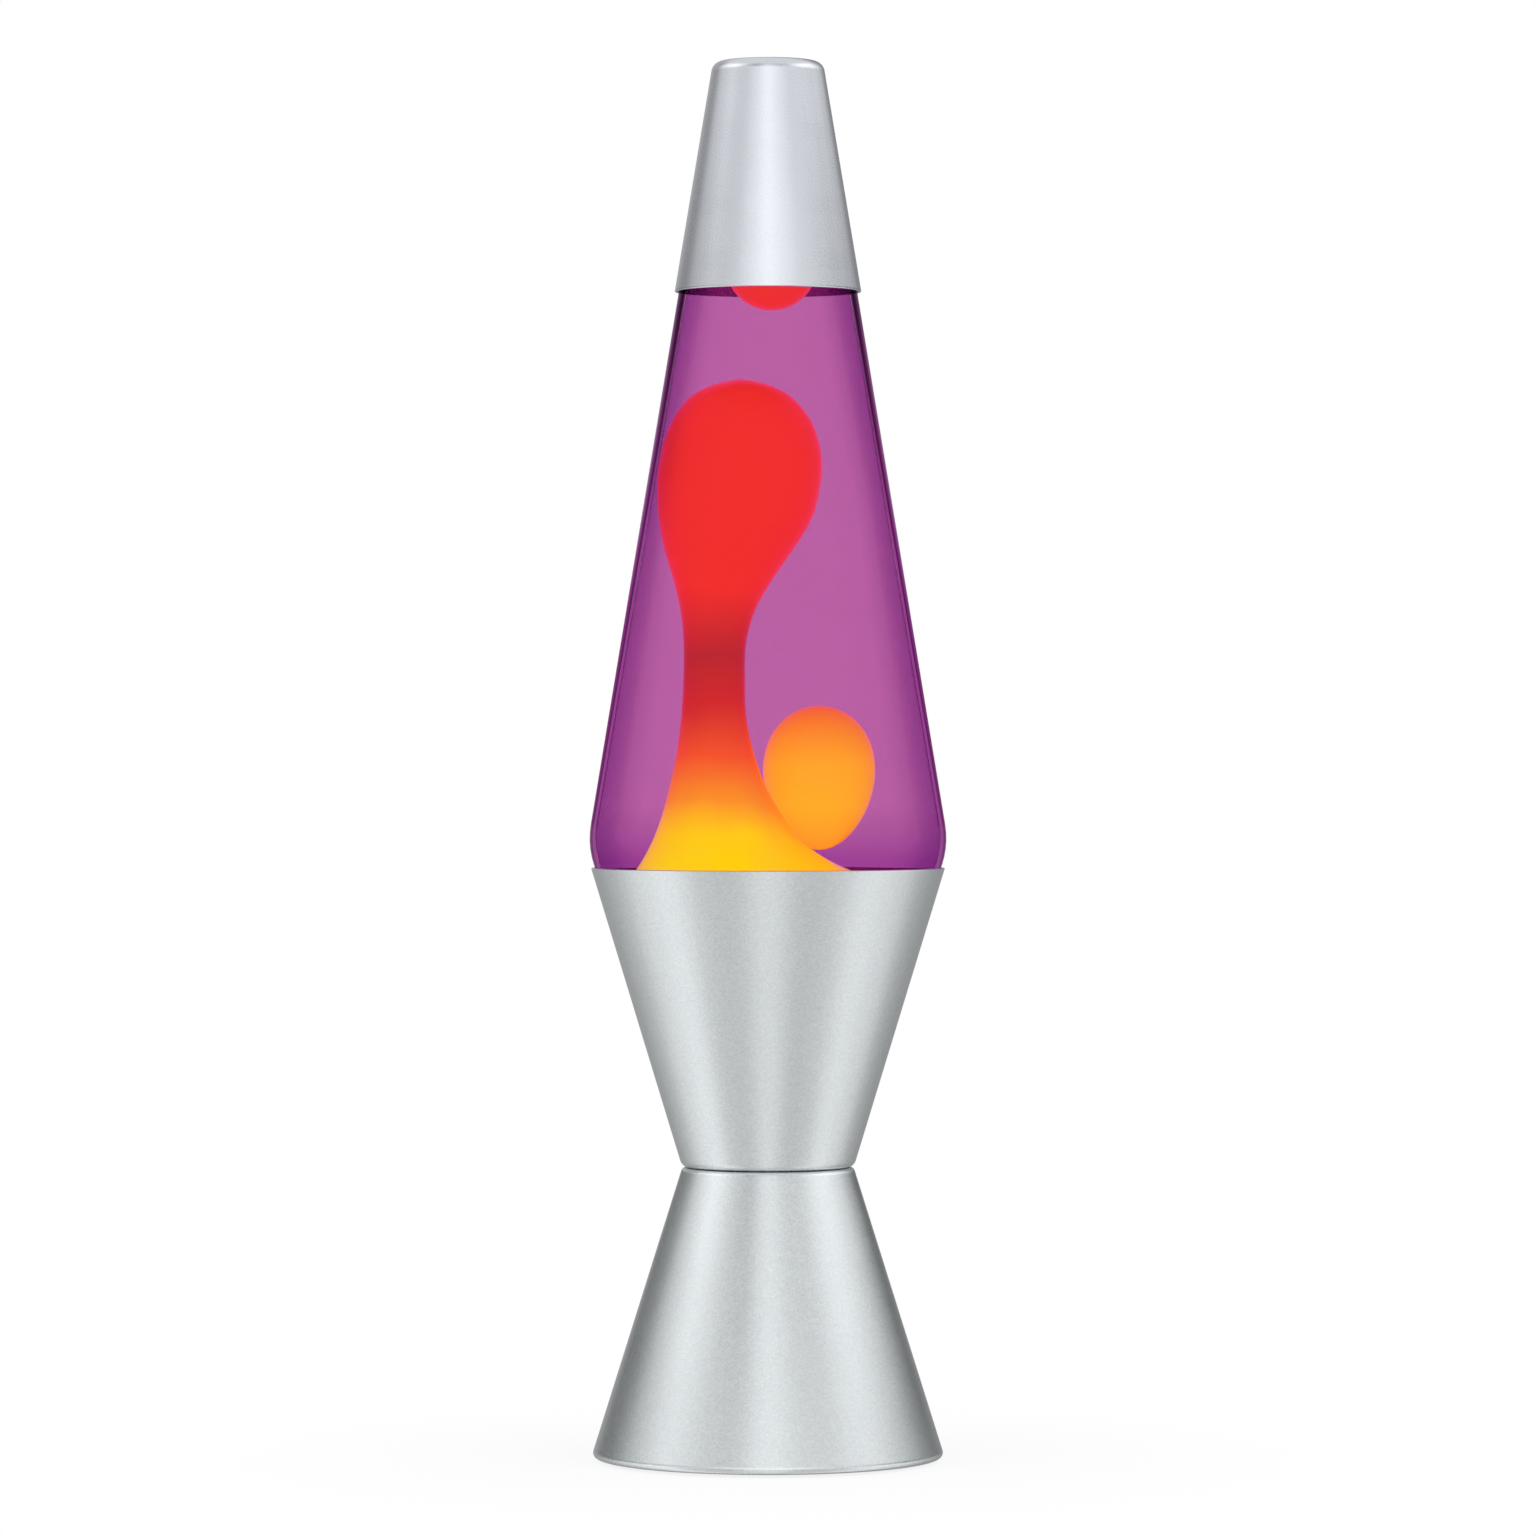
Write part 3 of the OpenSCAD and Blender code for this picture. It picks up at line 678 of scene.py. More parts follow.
def moulded(name, colour, roughness, pores=2500.0, depth=0.2, mottle=0.12, coat=0.0, sheen=0.0):
    """A moulded plastic, rubber or fired clay."""
    finish = Finish(name)
    skin = finish.group("Moulded skin", pores_a_metre=pores)
    mask = finish.group("Handling marks", amount=0.5)["Mask"]
    body = finish.mix(finish.between(skin["Mottle"], 0.35, 0.65), scaled(colour, 1 - mottle),
                      scaled(colour, 1 + mottle))
    dust = tuple(0.65 * c + 0.1 for c in colour)
    finish.set("base color", finish.mix(finish.math("MULTIPLY", mask, 0.35), body, dust))
    finish.set("roughness", finish.math("MULTIPLY_ADD", mask, 0.25, roughness))
    finish.set("coat weight", coat)
    finish.set("coat roughness", 0.12)
    finish.set("sheen weight", sheen)
    finish.relief(skin["Height"], depth, 0.04 * MM)
    return finish.done()


def clear_glass(name, colour, roughness=0.0):
    """A clear blown glass with a faint waviness."""
    finish = Finish(name, transmission_weight=1.0, ior=1.47, roughness=roughness)
    drift = finish.group("Turning lines")["Drift"]
    finish.set("base color", finish.mix(finish.between(drift, 0.3, 0.7), colour, scaled(colour, 0.97)))
    finish.relief(drift, 0.02, 0.1 * MM)
    return finish.done()


# The wax's wet skin takes most of its tint where it is seen edge on
SKIN_TINT = (0.95, 0.72, 0.95)
# Strength of the wax's glow, and what it loses besides in the skin and the liquid
WAX_GLOW = 1.9
WAX_LOSS = (0.935, 1.0, 0.93)
# The column's flare on the +X side leans away from the bulb: where it starts and is full, and its heights
FLARE_SIDE = (-0.006, 0.012)
FLARE_HEIGHTS = (0.195, 0.165)


def glow_wax(name, low, high, stops, lean=0.0):
    """Molten wax with a wet and smooth skin, the bulb's light from below painted into it as a glow.

    Its glow changes between two heights; a stop is its share of the way up and its colour on screen.
    """
    finish = Finish(name, roughness=0.3, coat_weight=1.0, coat_ior=1.08, coat_roughness=0.1,
                    coat_tint=SKIN_TINT, specular_ior_level=0.1)
    height = finish.parts(finish.place)[2]
    drift = finish.add("ShaderNodeTexNoise", {"Vector": finish.place, "Scale": 60.0, "Detail": 2.0}).outputs[0]
    share = finish.math("ADD", finish.between(height, low, high), finish.math(
        "MULTIPLY", finish.math("SUBTRACT", drift, 0.5), 0.06))
    if lean:
        # Painted shade: wax that stands further from the bulb is shown darker and redder
        side = finish.between(finish.parts(finish.place)[0], *FLARE_SIDE, 0.0, lean)
        share = finish.math("ADD", share, finish.math("MULTIPLY", side, finish.between(height, *FLARE_HEIGHTS)))
    glow = finish.ramp(share, stops)
    # The emitted light is raised by what the liquid in front and the skin then take from it
    liquid = bpy.context.scene.lamp_colours.liquid_front
    raised = tuple(kept / (c * t * WAX_GLOW) for kept, c, t in zip(WAX_LOSS, liquid, SKIN_TINT))
    finish.set("base color", finish.mix(0.8, glow, (0.05, 0.0, 0.0)))
    # The glow is painted light: emission stands in for the bulb's light shining up through the wax
    finish.set("emission color", finish.mix(1.0, glow, raised, "MULTIPLY"))
    finish.set("emission strength", WAX_GLOW)
    return finish.done()


def build_metals():
    """Aluminium, plated steel, brass, bronze, solder and wire."""
    colours = bpy.context.scene.lamp_colours
    base, cap = tuple(colours.base_metal), tuple(colours.cap_metal)
    metal("Grained aluminium", base, 0.29, grain=2600.0, depth=0.085, sparkle=0.085, marks=0.25)
    metal("Satin aluminium", cap, 0.26, grain=3600.0, depth=0.003, sparkle=0.008, lines=0.2, marks=0.2)
    metal("Rivet aluminium", (0.72, 0.73, 0.74), 0.3, grain=1800.0, depth=0.15)
    metal("Zinc plate", (0.62, 0.63, 0.60), 0.38, grain=900.0, depth=0.15, sparkle=0.25)
    metal("Brass", (0.78, 0.56, 0.25), 0.3, grain=1500.0, depth=0.15, sparkle=0.12, lines=0.3)
    metal("Spring bronze", (0.70, 0.45, 0.28), 0.32, grain=1500.0, depth=0.12, sparkle=0.12)
    metal("Bulb base metal", (0.80, 0.79, 0.74), 0.28, grain=1500.0, depth=0.12, sparkle=0.08, lines=0.3)
    metal("Solder", (0.66, 0.66, 0.68), 0.42, grain=900.0, depth=0.5, sparkle=0.2)
    metal("Coil steel", (0.60, 0.58, 0.56), 0.3, grain=2500.0, depth=0.15)
    metal("Support wire", (0.55, 0.55, 0.56), 0.35, grain=2500.0, depth=0.1)
    metal("Closure tinplate", (0.78, 0.70, 0.45), 0.28, grain=2500.0, depth=0.15, sparkle=0.1, lines=0.2)


def build_mouldings():
    """Plastics, rubbers, porcelain and the bulb's glasses."""
    moulded("Plate plastic", (0.035, 0.035, 0.038), 0.45, pores=1800.0, depth=0.4)
    moulded("Pad rubber", (0.022, 0.022, 0.024), 0.7, pores=1500.0, depth=0.4, sheen=0.1)
    moulded("Bushing rubber", (0.02, 0.02, 0.021), 0.6, pores=1500.0, depth=0.3, sheen=0.1)
    moulded("Glazed porcelain", (0.80, 0.78, 0.72), 0.25, pores=700.0, depth=0.08, mottle=0.03, coat=0.6)
    moulded("Black insulation", (0.02, 0.02, 0.02), 0.42, pores=2000.0, depth=0.15)
    moulded("White insulation", (0.75, 0.74, 0.70), 0.42, pores=2000.0, depth=0.15, mottle=0.04)
    moulded("Splice plastic", (0.72, 0.66, 0.50), 0.38, pores=1500.0, depth=0.2, mottle=0.05)
    moulded("Liner plastic", (0.70, 0.71, 0.72), 0.5, pores=1500.0, depth=0.2, mottle=0.04)
    moulded("Black vitrite", (0.012, 0.012, 0.014), 0.15, pores=900.0, depth=0.08, mottle=0.3, coat=0.8)
    clear_glass("Bulb glass", (0.97, 0.98, 0.97))
    clear_glass("Stem glass", (0.92, 0.95, 0.93), roughness=0.08)


def build_tungsten():
    """A filament that glows unevenly along its coil."""
    tungsten = Finish("Hot tungsten", metallic=1.0, roughness=0.4, base_color=(0.3, 0.28, 0.26))
    heat = tungsten.add("ShaderNodeTexNoise", {"Vector": tungsten.place, "Scale": 400.0}).outputs[0]
    tungsten.set("emission color", tungsten.mix(heat, (1.0, 0.45, 0.10), (1.0, 0.68, 0.30)))
    tungsten.set("emission strength", 14.0)
    tungsten.done()


# Heights above the table: the bottle's heel, middle and shoulder, and the top of its floor's inner face
BOTTLE_HEEL = 0.155
BOTTLE_MIDDLE = 0.235
BOTTLE_SHOULDER = 0.313
BOTTLE_FLOOR = 0.1445


def build_bottle_glass():
    """The bottle's two walls: clear, and the outer one darkened by painted shade where it is seen edge on
    against the liquid.
    """
    bottom, fill = (corner.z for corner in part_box("liquid"))
    bottle = Finish("Bottle glass", transmission_weight=1.0, ior=1.02, roughness=0.0)
    edge_on = bottle.add("ShaderNodeLayerWeight", {"Blend": 0.5}).outputs["Facing"]
    beside_liquid = bottle.group("Height band", low=bottom - 0.05, high=fill, fade=0.002)["Mask"]
    height = bottle.parts(bottle.place)[2]
    # The wall takes a larger share of the narrow end, so the darkening starts further in up there
    lower = bottle.between(height, BOTTLE_HEEL, BOTTLE_MIDDLE, 0.0, 0.06)
    upper = bottle.between(height, BOTTLE_MIDDLE, BOTTLE_SHOULDER, 0.0, 0.09)
    across = bottle.math("ADD", edge_on, bottle.math("ADD", lower, upper))
    clear = (1.0, 1.0, 1.0)
    dark = bottle.ramp(across, [(0.0, clear), (0.725, clear), (0.752, (0.072, 0.0016, 0.058)),
                                (0.83, (0.12, 0.006, 0.1)), (0.90, (0.45, 0.15, 0.42)),
                                (1.0, (0.5, 0.2, 0.48))])
    # Towards the top the painted shade is deeper as well
    deep = bottle.mix(1.0, dark, (0.27, 0.27, 0.27), "MULTIPLY")
    deep = bottle.mix(bottle.between(across, 0.72, 0.75), dark, deep)
    deepens_from, deepest_at = 0.24, 0.305
    dark = bottle.mix(bottle.between(height, deepens_from, deepest_at), dark, deep)
    bottle.set("base color", bottle.mix(beside_liquid, (0.97, 0.985, 0.975), dark))
    bottle.relief(bottle.group("Turning lines")["Drift"], 0.006, 0.1 * MM)
    bottle.done()

    inner = Finish("Bottle glass inside", transmission_weight=1.0, ior=1.0, roughness=0.0)
    inner.set("base color", inner.mix(inner.group("Turning lines")["Drift"], (0.97, 0.98, 0.975), clear))
    inner.done()


def build_liquid():
    """The liquid, with painted shade towards its edges and towards its top."""
    colours = bpy.context.scene.lamp_colours
    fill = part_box("liquid")[1].z
    liquid = Finish("Purple liquid", transmission_weight=1.0, ior=1.0, roughness=0.0)
    edge_on = liquid.add("ShaderNodeLayerWeight", {"Blend": 0.5}).outputs["Facing"]
    height = liquid.parts(liquid.place)[2]
    darkens_from = 0.25
    across = liquid.math("ADD", edge_on, liquid.between(height, darkens_from, fill, 0.0, 0.17))
    rim, white = tuple(colours.liquid_edge_shade), (1.0, 1.0, 1.0)
    falloff = ((0.12, 1.0), (0.34, 0.93), (0.49, 0.62), (0.57, 0.36), (0.67, 0.22), (0.85, 0.08), (1.0, 0.0))
    kept = liquid.ramp(across, [(place, lerp(rim, white, share)) for place, share in falloff])
    # Light takes the root of a glass colour at each crossing, so each side's colour is squared
    near_side = liquid.mix(1.0, tuple(c * c for c in colours.liquid_front), kept, "MULTIPLY")
    far_side = liquid.mix(1.0, tuple(c * c for c in colours.liquid_back), kept, "MULTIPLY")
    behind = liquid.add("ShaderNodeNewGeometry").outputs["Backfacing"]
    swirl = liquid.add("ShaderNodeTexNoise", {"Vector": liquid.place, "Scale": 22.0,
                                              "Detail": 1.0}).outputs[0]
    # Painted shade: the foot of the far side is darker, above the pool of wax
    foot_top, foot_bottom = 0.172, 0.158
    settled = liquid.between(height, foot_top, foot_bottom)
    far_side = liquid.mix(settled, far_side, liquid.mix(1.0, far_side, (0.50, 0.18, 0.66), "MULTIPLY"))
    seen = liquid.mix(behind, near_side, far_side)
    liquid.set("base color", liquid.mix(liquid.between(swirl, 0.35, 0.65, 0.0, 0.03), seen, (0.3, 0.05, 0.25)))
    liquid.done()


def build_waxes():
    """The wax's painted glow: yellow by the bulb, a darker red as painted shade in the column's neck, and bright
    red in its head.
    """
    colours = bpy.context.scene.lamp_colours
    bulb_lit, half_lit, shaded = (tuple(c) for c in (colours.wax_bulb_lit, colours.wax_half_lit, colours.wax_shaded))
    pool_top, neck_top = 0.15, 0.25
    glow_wax("Column wax", pool_top, neck_top, (
        (0.06, bulb_lit), (0.15, tone(255, 205, 22)), (0.23, half_lit), (0.35, tone(240, 82, 44)),
        (0.49, tone(205, 42, 44)), (0.62, shaded), (0.79, tone(238, 48, 44))), lean=0.06)
    # The drops glow with painted light as well, the rising drop darker and redder towards its top
    low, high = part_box("wax_blob")
    glow_wax("Blob wax", low.z, high.z, (
        (0.0, tone(250, 156, 44)), (0.3, tone(254, 172, 43)), (0.6, tone(253, 164, 43)),
        (1.0, tone(242, 106, 48))))
    low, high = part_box("wax_top_blob")
    glow_wax("Top wax", low.z, high.z, ((0.0, tone(236, 52, 50)), (1.0, tone(239, 48, 55))))


# ---- Pieces ----

def hole_cut(piece, centre, axis, radius, depth):
    """Cuts a round hole through a piece along an axis."""
    work = bmesh.new()
    bmesh.ops.create_cone(work, cap_ends=True, segments=64, radius1=radius, radius2=radius, depth=depth)
    mesh = bpy.data.meshes.new("hole")
    work.to_mesh(mesh)
    work.free()
    lean = Vector((0, 0, 1)).rotation_difference(Vector(axis)).to_matrix().to_4x4()
    mesh.transform(Matrix.Translation(centre) @ lean)
    cutter = bpy.data.objects.new("hole", mesh)
    bpy.context.scene.collection.objects.link(cutter)
    cut = piece.modifiers.new("Hole", "BOOLEAN")
    cut.operation, cut.object, cut.solver = "DIFFERENCE", cutter, "EXACT"
    applied(piece)
    bpy.data.objects.remove(cutter)
    return piece


def make_base_cones():
    sizes = bpy.context.scene.lamp_sizes
    hole_radius, hole_depth = 5.2 * MM, 14 * MM
    sheet = MATERIALS["Grained aluminium"]
    lower = turned("lower_base_cone", worked(meridian("lower_cone"), sizes.edge), sheet)
    inlet = next(m for m in frame["record"]["mounts"] if m["name"] == "cord_inlet")
    hole_cut(lower, Vector(inlet["pos_m"]), Vector(inlet["axis"]), hole_radius, hole_depth)
    keep(lower, "base", "lower_cone", slot="spun_aluminium")
    upper = turned("upper_base_cone", worked(meridian("upper_cone"), sizes.edge), sheet)
    keep(upper, "base", "upper_cone", slot="spun_aluminium")


def make_waist_rivets():
    sizes = bpy.context.scene.lamp_sizes
    low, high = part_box("waist_rivets")
    head = high.z - 1.0 * MM
    # The shank with its upset tail, then the domed head
    outline = [(0.0, 0.0, low.z), (1.9 * MM, 0.0, low.z), (2.4 * MM, 0.0, low.z + 0.5 * MM),
               (2.4 * MM, 0.0, low.z + 1.2 * MM), (1.6 * MM, 0.0, low.z + 1.25 * MM), (1.6 * MM, 0.0, head)]
    for step in range(9):
        angle = math.radians(10 * step)
        rise = 0.02 * MM + 0.98 * MM * math.sin(angle)
        outline.append((2.8 * MM * math.cos(angle), 0.0, head + rise))
    outline.append((0.0, 0.0, high.z))
    one = turned("rivet", worked(outline, 0.1 * MM), MATERIALS["Rivet aluminium"], around=32)
    ring = grown("waist_rivet_ring", "Ring of parts", one.data, MATERIALS["Rivet aluminium"],
                 {"Count": 4, "Ring radius": sizes.rivet_ring, "First angle": 0.0})
    bpy.data.objects.remove(one)
    keep(ring, "base", "waist_rivets", slot="rivet_aluminium")


def make_underside():
    sizes = bpy.context.scene.lamp_sizes
    finished("base_plate", "bottom_plate", "Plate plastic", "plate_plastic", bevel=0.2 * MM)
    low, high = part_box("foot_pads")
    outline = [(0.0, 0.0, low.z + 0.25 * MM), (3.6 * MM, 0.0, low.z + 0.25 * MM), (4.0 * MM, 0.0, low.z),
               (4.9 * MM, 0.0, low.z), (5.5 * MM, 0.0, low.z + 0.6 * MM), (5.5 * MM, 0.0, high.z),
               (0.0, 0.0, high.z)]
    one = turned("pad", worked(outline, 0.2 * MM), MATERIALS["Pad rubber"], around=48)
    pads = grown("foot_pad_ring", "Ring of parts", one.data, MATERIALS["Pad rubber"],
                 {"Count": 4, "Ring radius": sizes.pad_ring, "First angle": math.radians(45)})
    bpy.data.objects.remove(one)
    keep(pads, "base", "foot_pads", slot="pad_rubber")
    finished("cord_bushing_moulding", "cord_bushing", "Bushing rubber", "bushing_rubber", bevel=0.2 * MM)


def heights_between(low, high, steps):
    """Even steps from one height to another."""
    return [low + (high - low) * k / steps for k in range(steps + 1)]


def make_lampholder():
    sizes = bpy.context.scene.lamp_sizes
    finished("holder_strap", "socket_strap", "Zinc plate", "zinc_steel", bevel=0.15 * MM)
    finished("holder_screws", "socket_screws", "Brass", "socket_brass", bevel=0.1 * MM)
    finished("holder_porcelain", "socket_body", "Glazed porcelain", "socket_porcelain", bevel=0.4 * MM)
    finished("centre_tongue", "centre_contact", "Spring bronze", "contact_bronze", bevel=0.08 * MM)
    finished("shell_tab", "shell_contact", "Spring bronze", "contact_bronze", bevel=0.08 * MM)
    low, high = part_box("socket_screw_shell")
    heights = heights_between(low.z, high.z, 90)
    # The thread's waves only add to the radius, and act on the whole wall, as in a pressed shell
    outer = high.x - sizes.thread_depth
    inner = high.x - 0.45 * MM - sizes.thread_depth
    outline = [(outer, 0.0, z) for z in heights] + [(inner, 0.0, z) for z in heights[::-1]]
    shell = turned("threaded_shell", outline + outline[:1], MATERIALS["Brass"], around=72, waves=1,
                   wave_depth=sizes.thread_depth, twist=math.tau / sizes.thread_pitch, wave_low=low.z - 0.01,
                   wave_high=high.z + 0.01)
    keep(shell, "base", "socket_screw_shell", slot="socket_brass")


def make_leads():
    finished("line_lead", "lead_line", "Black insulation", "lead_black", divide=2)
    finished("neutral_lead", "lead_neutral", "White insulation", "lead_white", divide=2)
    finished("splice_cap_pair", "splice_caps", "Splice plastic", "splice_plastic", bevel=0.1 * MM)


def make_bulb():
    sizes = bpy.context.scene.lamp_sizes
    outline = worked(meridian("bulb_tip", least=12), 0.2 * MM)
    tip = turned("bulb_solder_tip", outline, MATERIALS["Solder"], around=48)
    keep(tip, "bulb_tip_contact", "bulb_tip", slot="solder")
    outline = worked(meridian("bulb_insulator"), 0.3 * MM)
    ring = turned("bulb_black_ring", outline, MATERIALS["Black vitrite"], around=64)
    keep(ring, "bulb", "bulb_insulator", slot="bulb_black_glass")
    low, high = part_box("bulb_screw_base")
    outer, inner = high.x - sizes.thread_depth, high.x - sizes.thread_depth - 0.35 * MM
    heights = heights_between(low.z, high.z, 80)
    outline = [(outer - 0.3 * MM, 0.0, low.z)] + [(outer, 0.0, z) for z in heights[2:]]
    outline += [(inner, 0.0, z) for z in heights[::-1]]
    # The thread dies out before both ends of the base
    base = turned("bulb_threaded_base", outline + outline[:1], MATERIALS["Bulb base metal"], around=72,
                  waves=1, wave_depth=sizes.thread_depth, twist=math.tau / sizes.thread_pitch,
                  wave_low=low.z + 0.8 * MM, wave_high=high.z - 1.2 * MM, wave_fade=1.4 * MM)
    keep(base, "bulb", "bulb_screw_base", slot="bulb_base_metal")
    outline = worked(meridian("bulb_envelope"), 0.1 * MM)
    glass = turned("bulb_glass_envelope", outline, MATERIALS["Bulb glass"], around=96)
    keep(glass, "bulb", "bulb_envelope", slot="bulb_glass")
    finished("bulb_glass_stem", "bulb_stem", "Stem glass", "stem_glass", body="bulb", bevel=0.25 * MM)
    finished("bulb_support_wires", "bulb_supports", "Support wire", "support_wire", body="bulb", divide=1)
    make_filament()


def make_filament():
    """A coil that arches from one support wire to the other."""
    sizes = bpy.context.scene.lamp_sizes
    low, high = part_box("bulb_filament")
    foot, arch = low.z + 0.9 * MM, 1.8 * MM
    half, steps = high.x - 0.2 * MM, 24
    path = [(half * (1 - 2 * k / steps), 0.0, foot + arch * math.sin(math.pi * k / steps))
            for k in range(steps + 1)]
    coil = grown("bulb_filament_coil", "Wound wire", outline_mesh(path), MATERIALS["Hot tungsten"],
                 {"Turns": sizes.filament_turns, "Points a turn": 10, "Coil radius": 0.62 * MM,
                  "Wire radius": 0.13 * MM, "Facets": 6})
    keep(coil, "bulb", "bulb_filament", slot="tungsten")


def make_globe():
    sizes = bpy.context.scene.lamp_sizes
    glass = turned("bottle", worked(meridian("globe_glass"), 0.3 * MM), MATERIALS["Bottle glass"])
    glass.data.materials.clear()
    glass.data.materials.append(MATERIALS["Bottle glass"])
    glass.data.materials.append(MATERIALS["Bottle glass inside"])
    # The inner wall and the floor's inner face have a finish of their own
    for face in glass.data.polygons:
        faces_in = face.center.x * face.normal.x + face.center.y * face.normal.y < 0
        on_floor = face.center.z < BOTTLE_FLOOR and face.normal.z > 0
        face.material_index = 1 if faces_in or on_floor else 0
    keep(glass, "globe", "globe_glass", slot="globe_glass")
    low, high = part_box("crown_cap")
    outline = worked(meridian("crown_cap"), 0.15 * MM)
    # The flutes are deepest at the skirt's foot and die out below the flat top
    crown = turned("bottle_crown", outline, MATERIALS["Closure tinplate"], around=252,
                   waves=sizes.crown_flutes, wave_depth=0.22 * MM, wave_low=low.z - 3 * MM,
                   wave_high=high.z - 2.0 * MM, wave_fade=2.5 * MM)
    keep(crown, "globe", "crown_cap", slot="crown_tinplate")
    outline = worked(meridian("crown_liner"), 0.15 * MM)
    liner = turned("crown_seal", outline, MATERIALS["Liner plastic"], around=64)
    keep(liner, "globe", "crown_liner", slot="liner_plastic")


def make_liquid():
    """Fills the bottle to just short of its inner wall, with a meniscus at the top."""
    walls = meridian("globe_glass")
    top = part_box("liquid")[1].z
    # The inner wall runs down from the lip to the axis in the outline's second half
    peak = max(range(len(walls)), key=lambda i: (walls[i][2], walls[i][0]))
    inner = [p for p in walls[peak:] if p[2] < top - 1.5 * MM][::-1]
    gap = 0.06 * MM
    shrunk = []
    for i, point in enumerate(inner):
        a = Vector(inner[max(i - 1, 0)])
        b = Vector(inner[min(i + 1, len(inner) - 1)])
        run = (b - a).normalized()
        side = Vector((-run.z, 0, run.x)) if point[0] > 1e-6 else Vector((0, 0, 1))
        shrunk.append(tuple(Vector(point) + side * gap))
    edge = shrunk[-1][0]
    shrunk += [(edge, 0.0, top), (edge - 0.25 * MM, 0.0, top - 0.45 * MM),
               (edge - 0.8 * MM, 0.0, top - 0.8 * MM), (edge - 2.0 * MM, 0.0, top - 1.0 * MM),
               (0.0, 0.0, top - 1.0 * MM)]
    body = turned("purple_liquid_fill", worked(shrunk, 0.1 * MM), MATERIALS["Purple liquid"])
    keep(body, "globe", "liquid", slot="purple_liquid")


def drop(name, node, material, body, widest):
    """A free drop of wax: round in plan, fullest a little above its middle by the share given."""
    low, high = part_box(node)
    centre, half = (low + high) / 2, (high - low) / 2
    steps = 48
    outline = []
    for k in range(steps + 1):
        angle = math.pi * (k / steps - 0.5)
        rise = math.sin(angle)
        radius = half.x * math.cos(angle) * (1 + widest * rise) / math.sqrt(1 + widest * widest)
        outline.append((radius, 0.0, centre.z + half.z * rise))
    outline[0] = (0.0, 0.0, low.z)
    outline[-1] = (0.0, 0.0, high.z)
    made = turned(name, outline, material, around=96)
    made.data.transform(Matrix.Translation((centre.x, centre.y, 0)))
    return keep(made, body, node, slot="wax")


def make_wax():
    sizes = bpy.context.scene.lamp_sizes
    outline = softened(meridian("wax_column", least=20, offset_rings=True), 3)
    outline = [(0.0, outline[0][1], outline[0][2])] + outline + [(0.0, outline[-1][1], outline[-1][2])]
    column = turned("wax_column_and_pool", outline, MATERIALS["Column wax"], around=96)
    keep(column, "globe", "wax_column", slot="wax")
    low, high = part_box("wax_coil")
    tube = (high.z - low.z) / 2
    ring = high.x - tube
    steps = 96
    path = [(ring * math.cos(math.tau * k / steps), ring * math.sin(math.tau * k / steps), low.z + tube)
            for k in range(steps)]
    mesh = bpy.data.meshes.new("ring")
    mesh.from_pydata(path, [(k, (k + 1) % steps) for k in range(steps)], [])
    coil = grown("wax_wire_ring", "Wound wire", mesh, MATERIALS["Coil steel"],
                 {"Turns": sizes.coil_turns, "Points a turn": 12, "Coil radius": tube - 0.35 * MM,
                  "Wire radius": 0.32 * MM, "Facets": 6})
    keep(coil, "globe", "wax_coil", slot="coil_steel")
    drop("rising_wax_drop", "wax_blob", MATERIALS["Blob wax"], "rising_wax", 0.10)
    drop("sinking_wax_drop", "wax_top_blob", MATERIALS["Top wax"], "top_wax", 0.04)


def make_cap():
    cap = turned("bottle_cap", worked(meridian("cap"), 0.25 * MM), MATERIALS["Satin aluminium"])
    keep(cap, "cap", "cap", slot="cap_aluminium")


# ---- Finishes, all together ----

def make_finishes():
    """Builds the trees and groups first, because the materials and the pieces use them."""
    TREES.update({"Spun shell": spun_shell_tree(), "Wound wire": wound_wire_tree(),
                  "Ring of parts": ring_of_parts_tree()})
    for group in (grain_group, turning_group, smudge_group, band_group, moulding_group):
        tree = group()
        GROUPS[tree.name] = tree
    build_metals()
    build_mouldings()
    build_tungsten()
    build_bottle_glass()
    build_liquid()
    build_waxes()


# ---- Stage ----

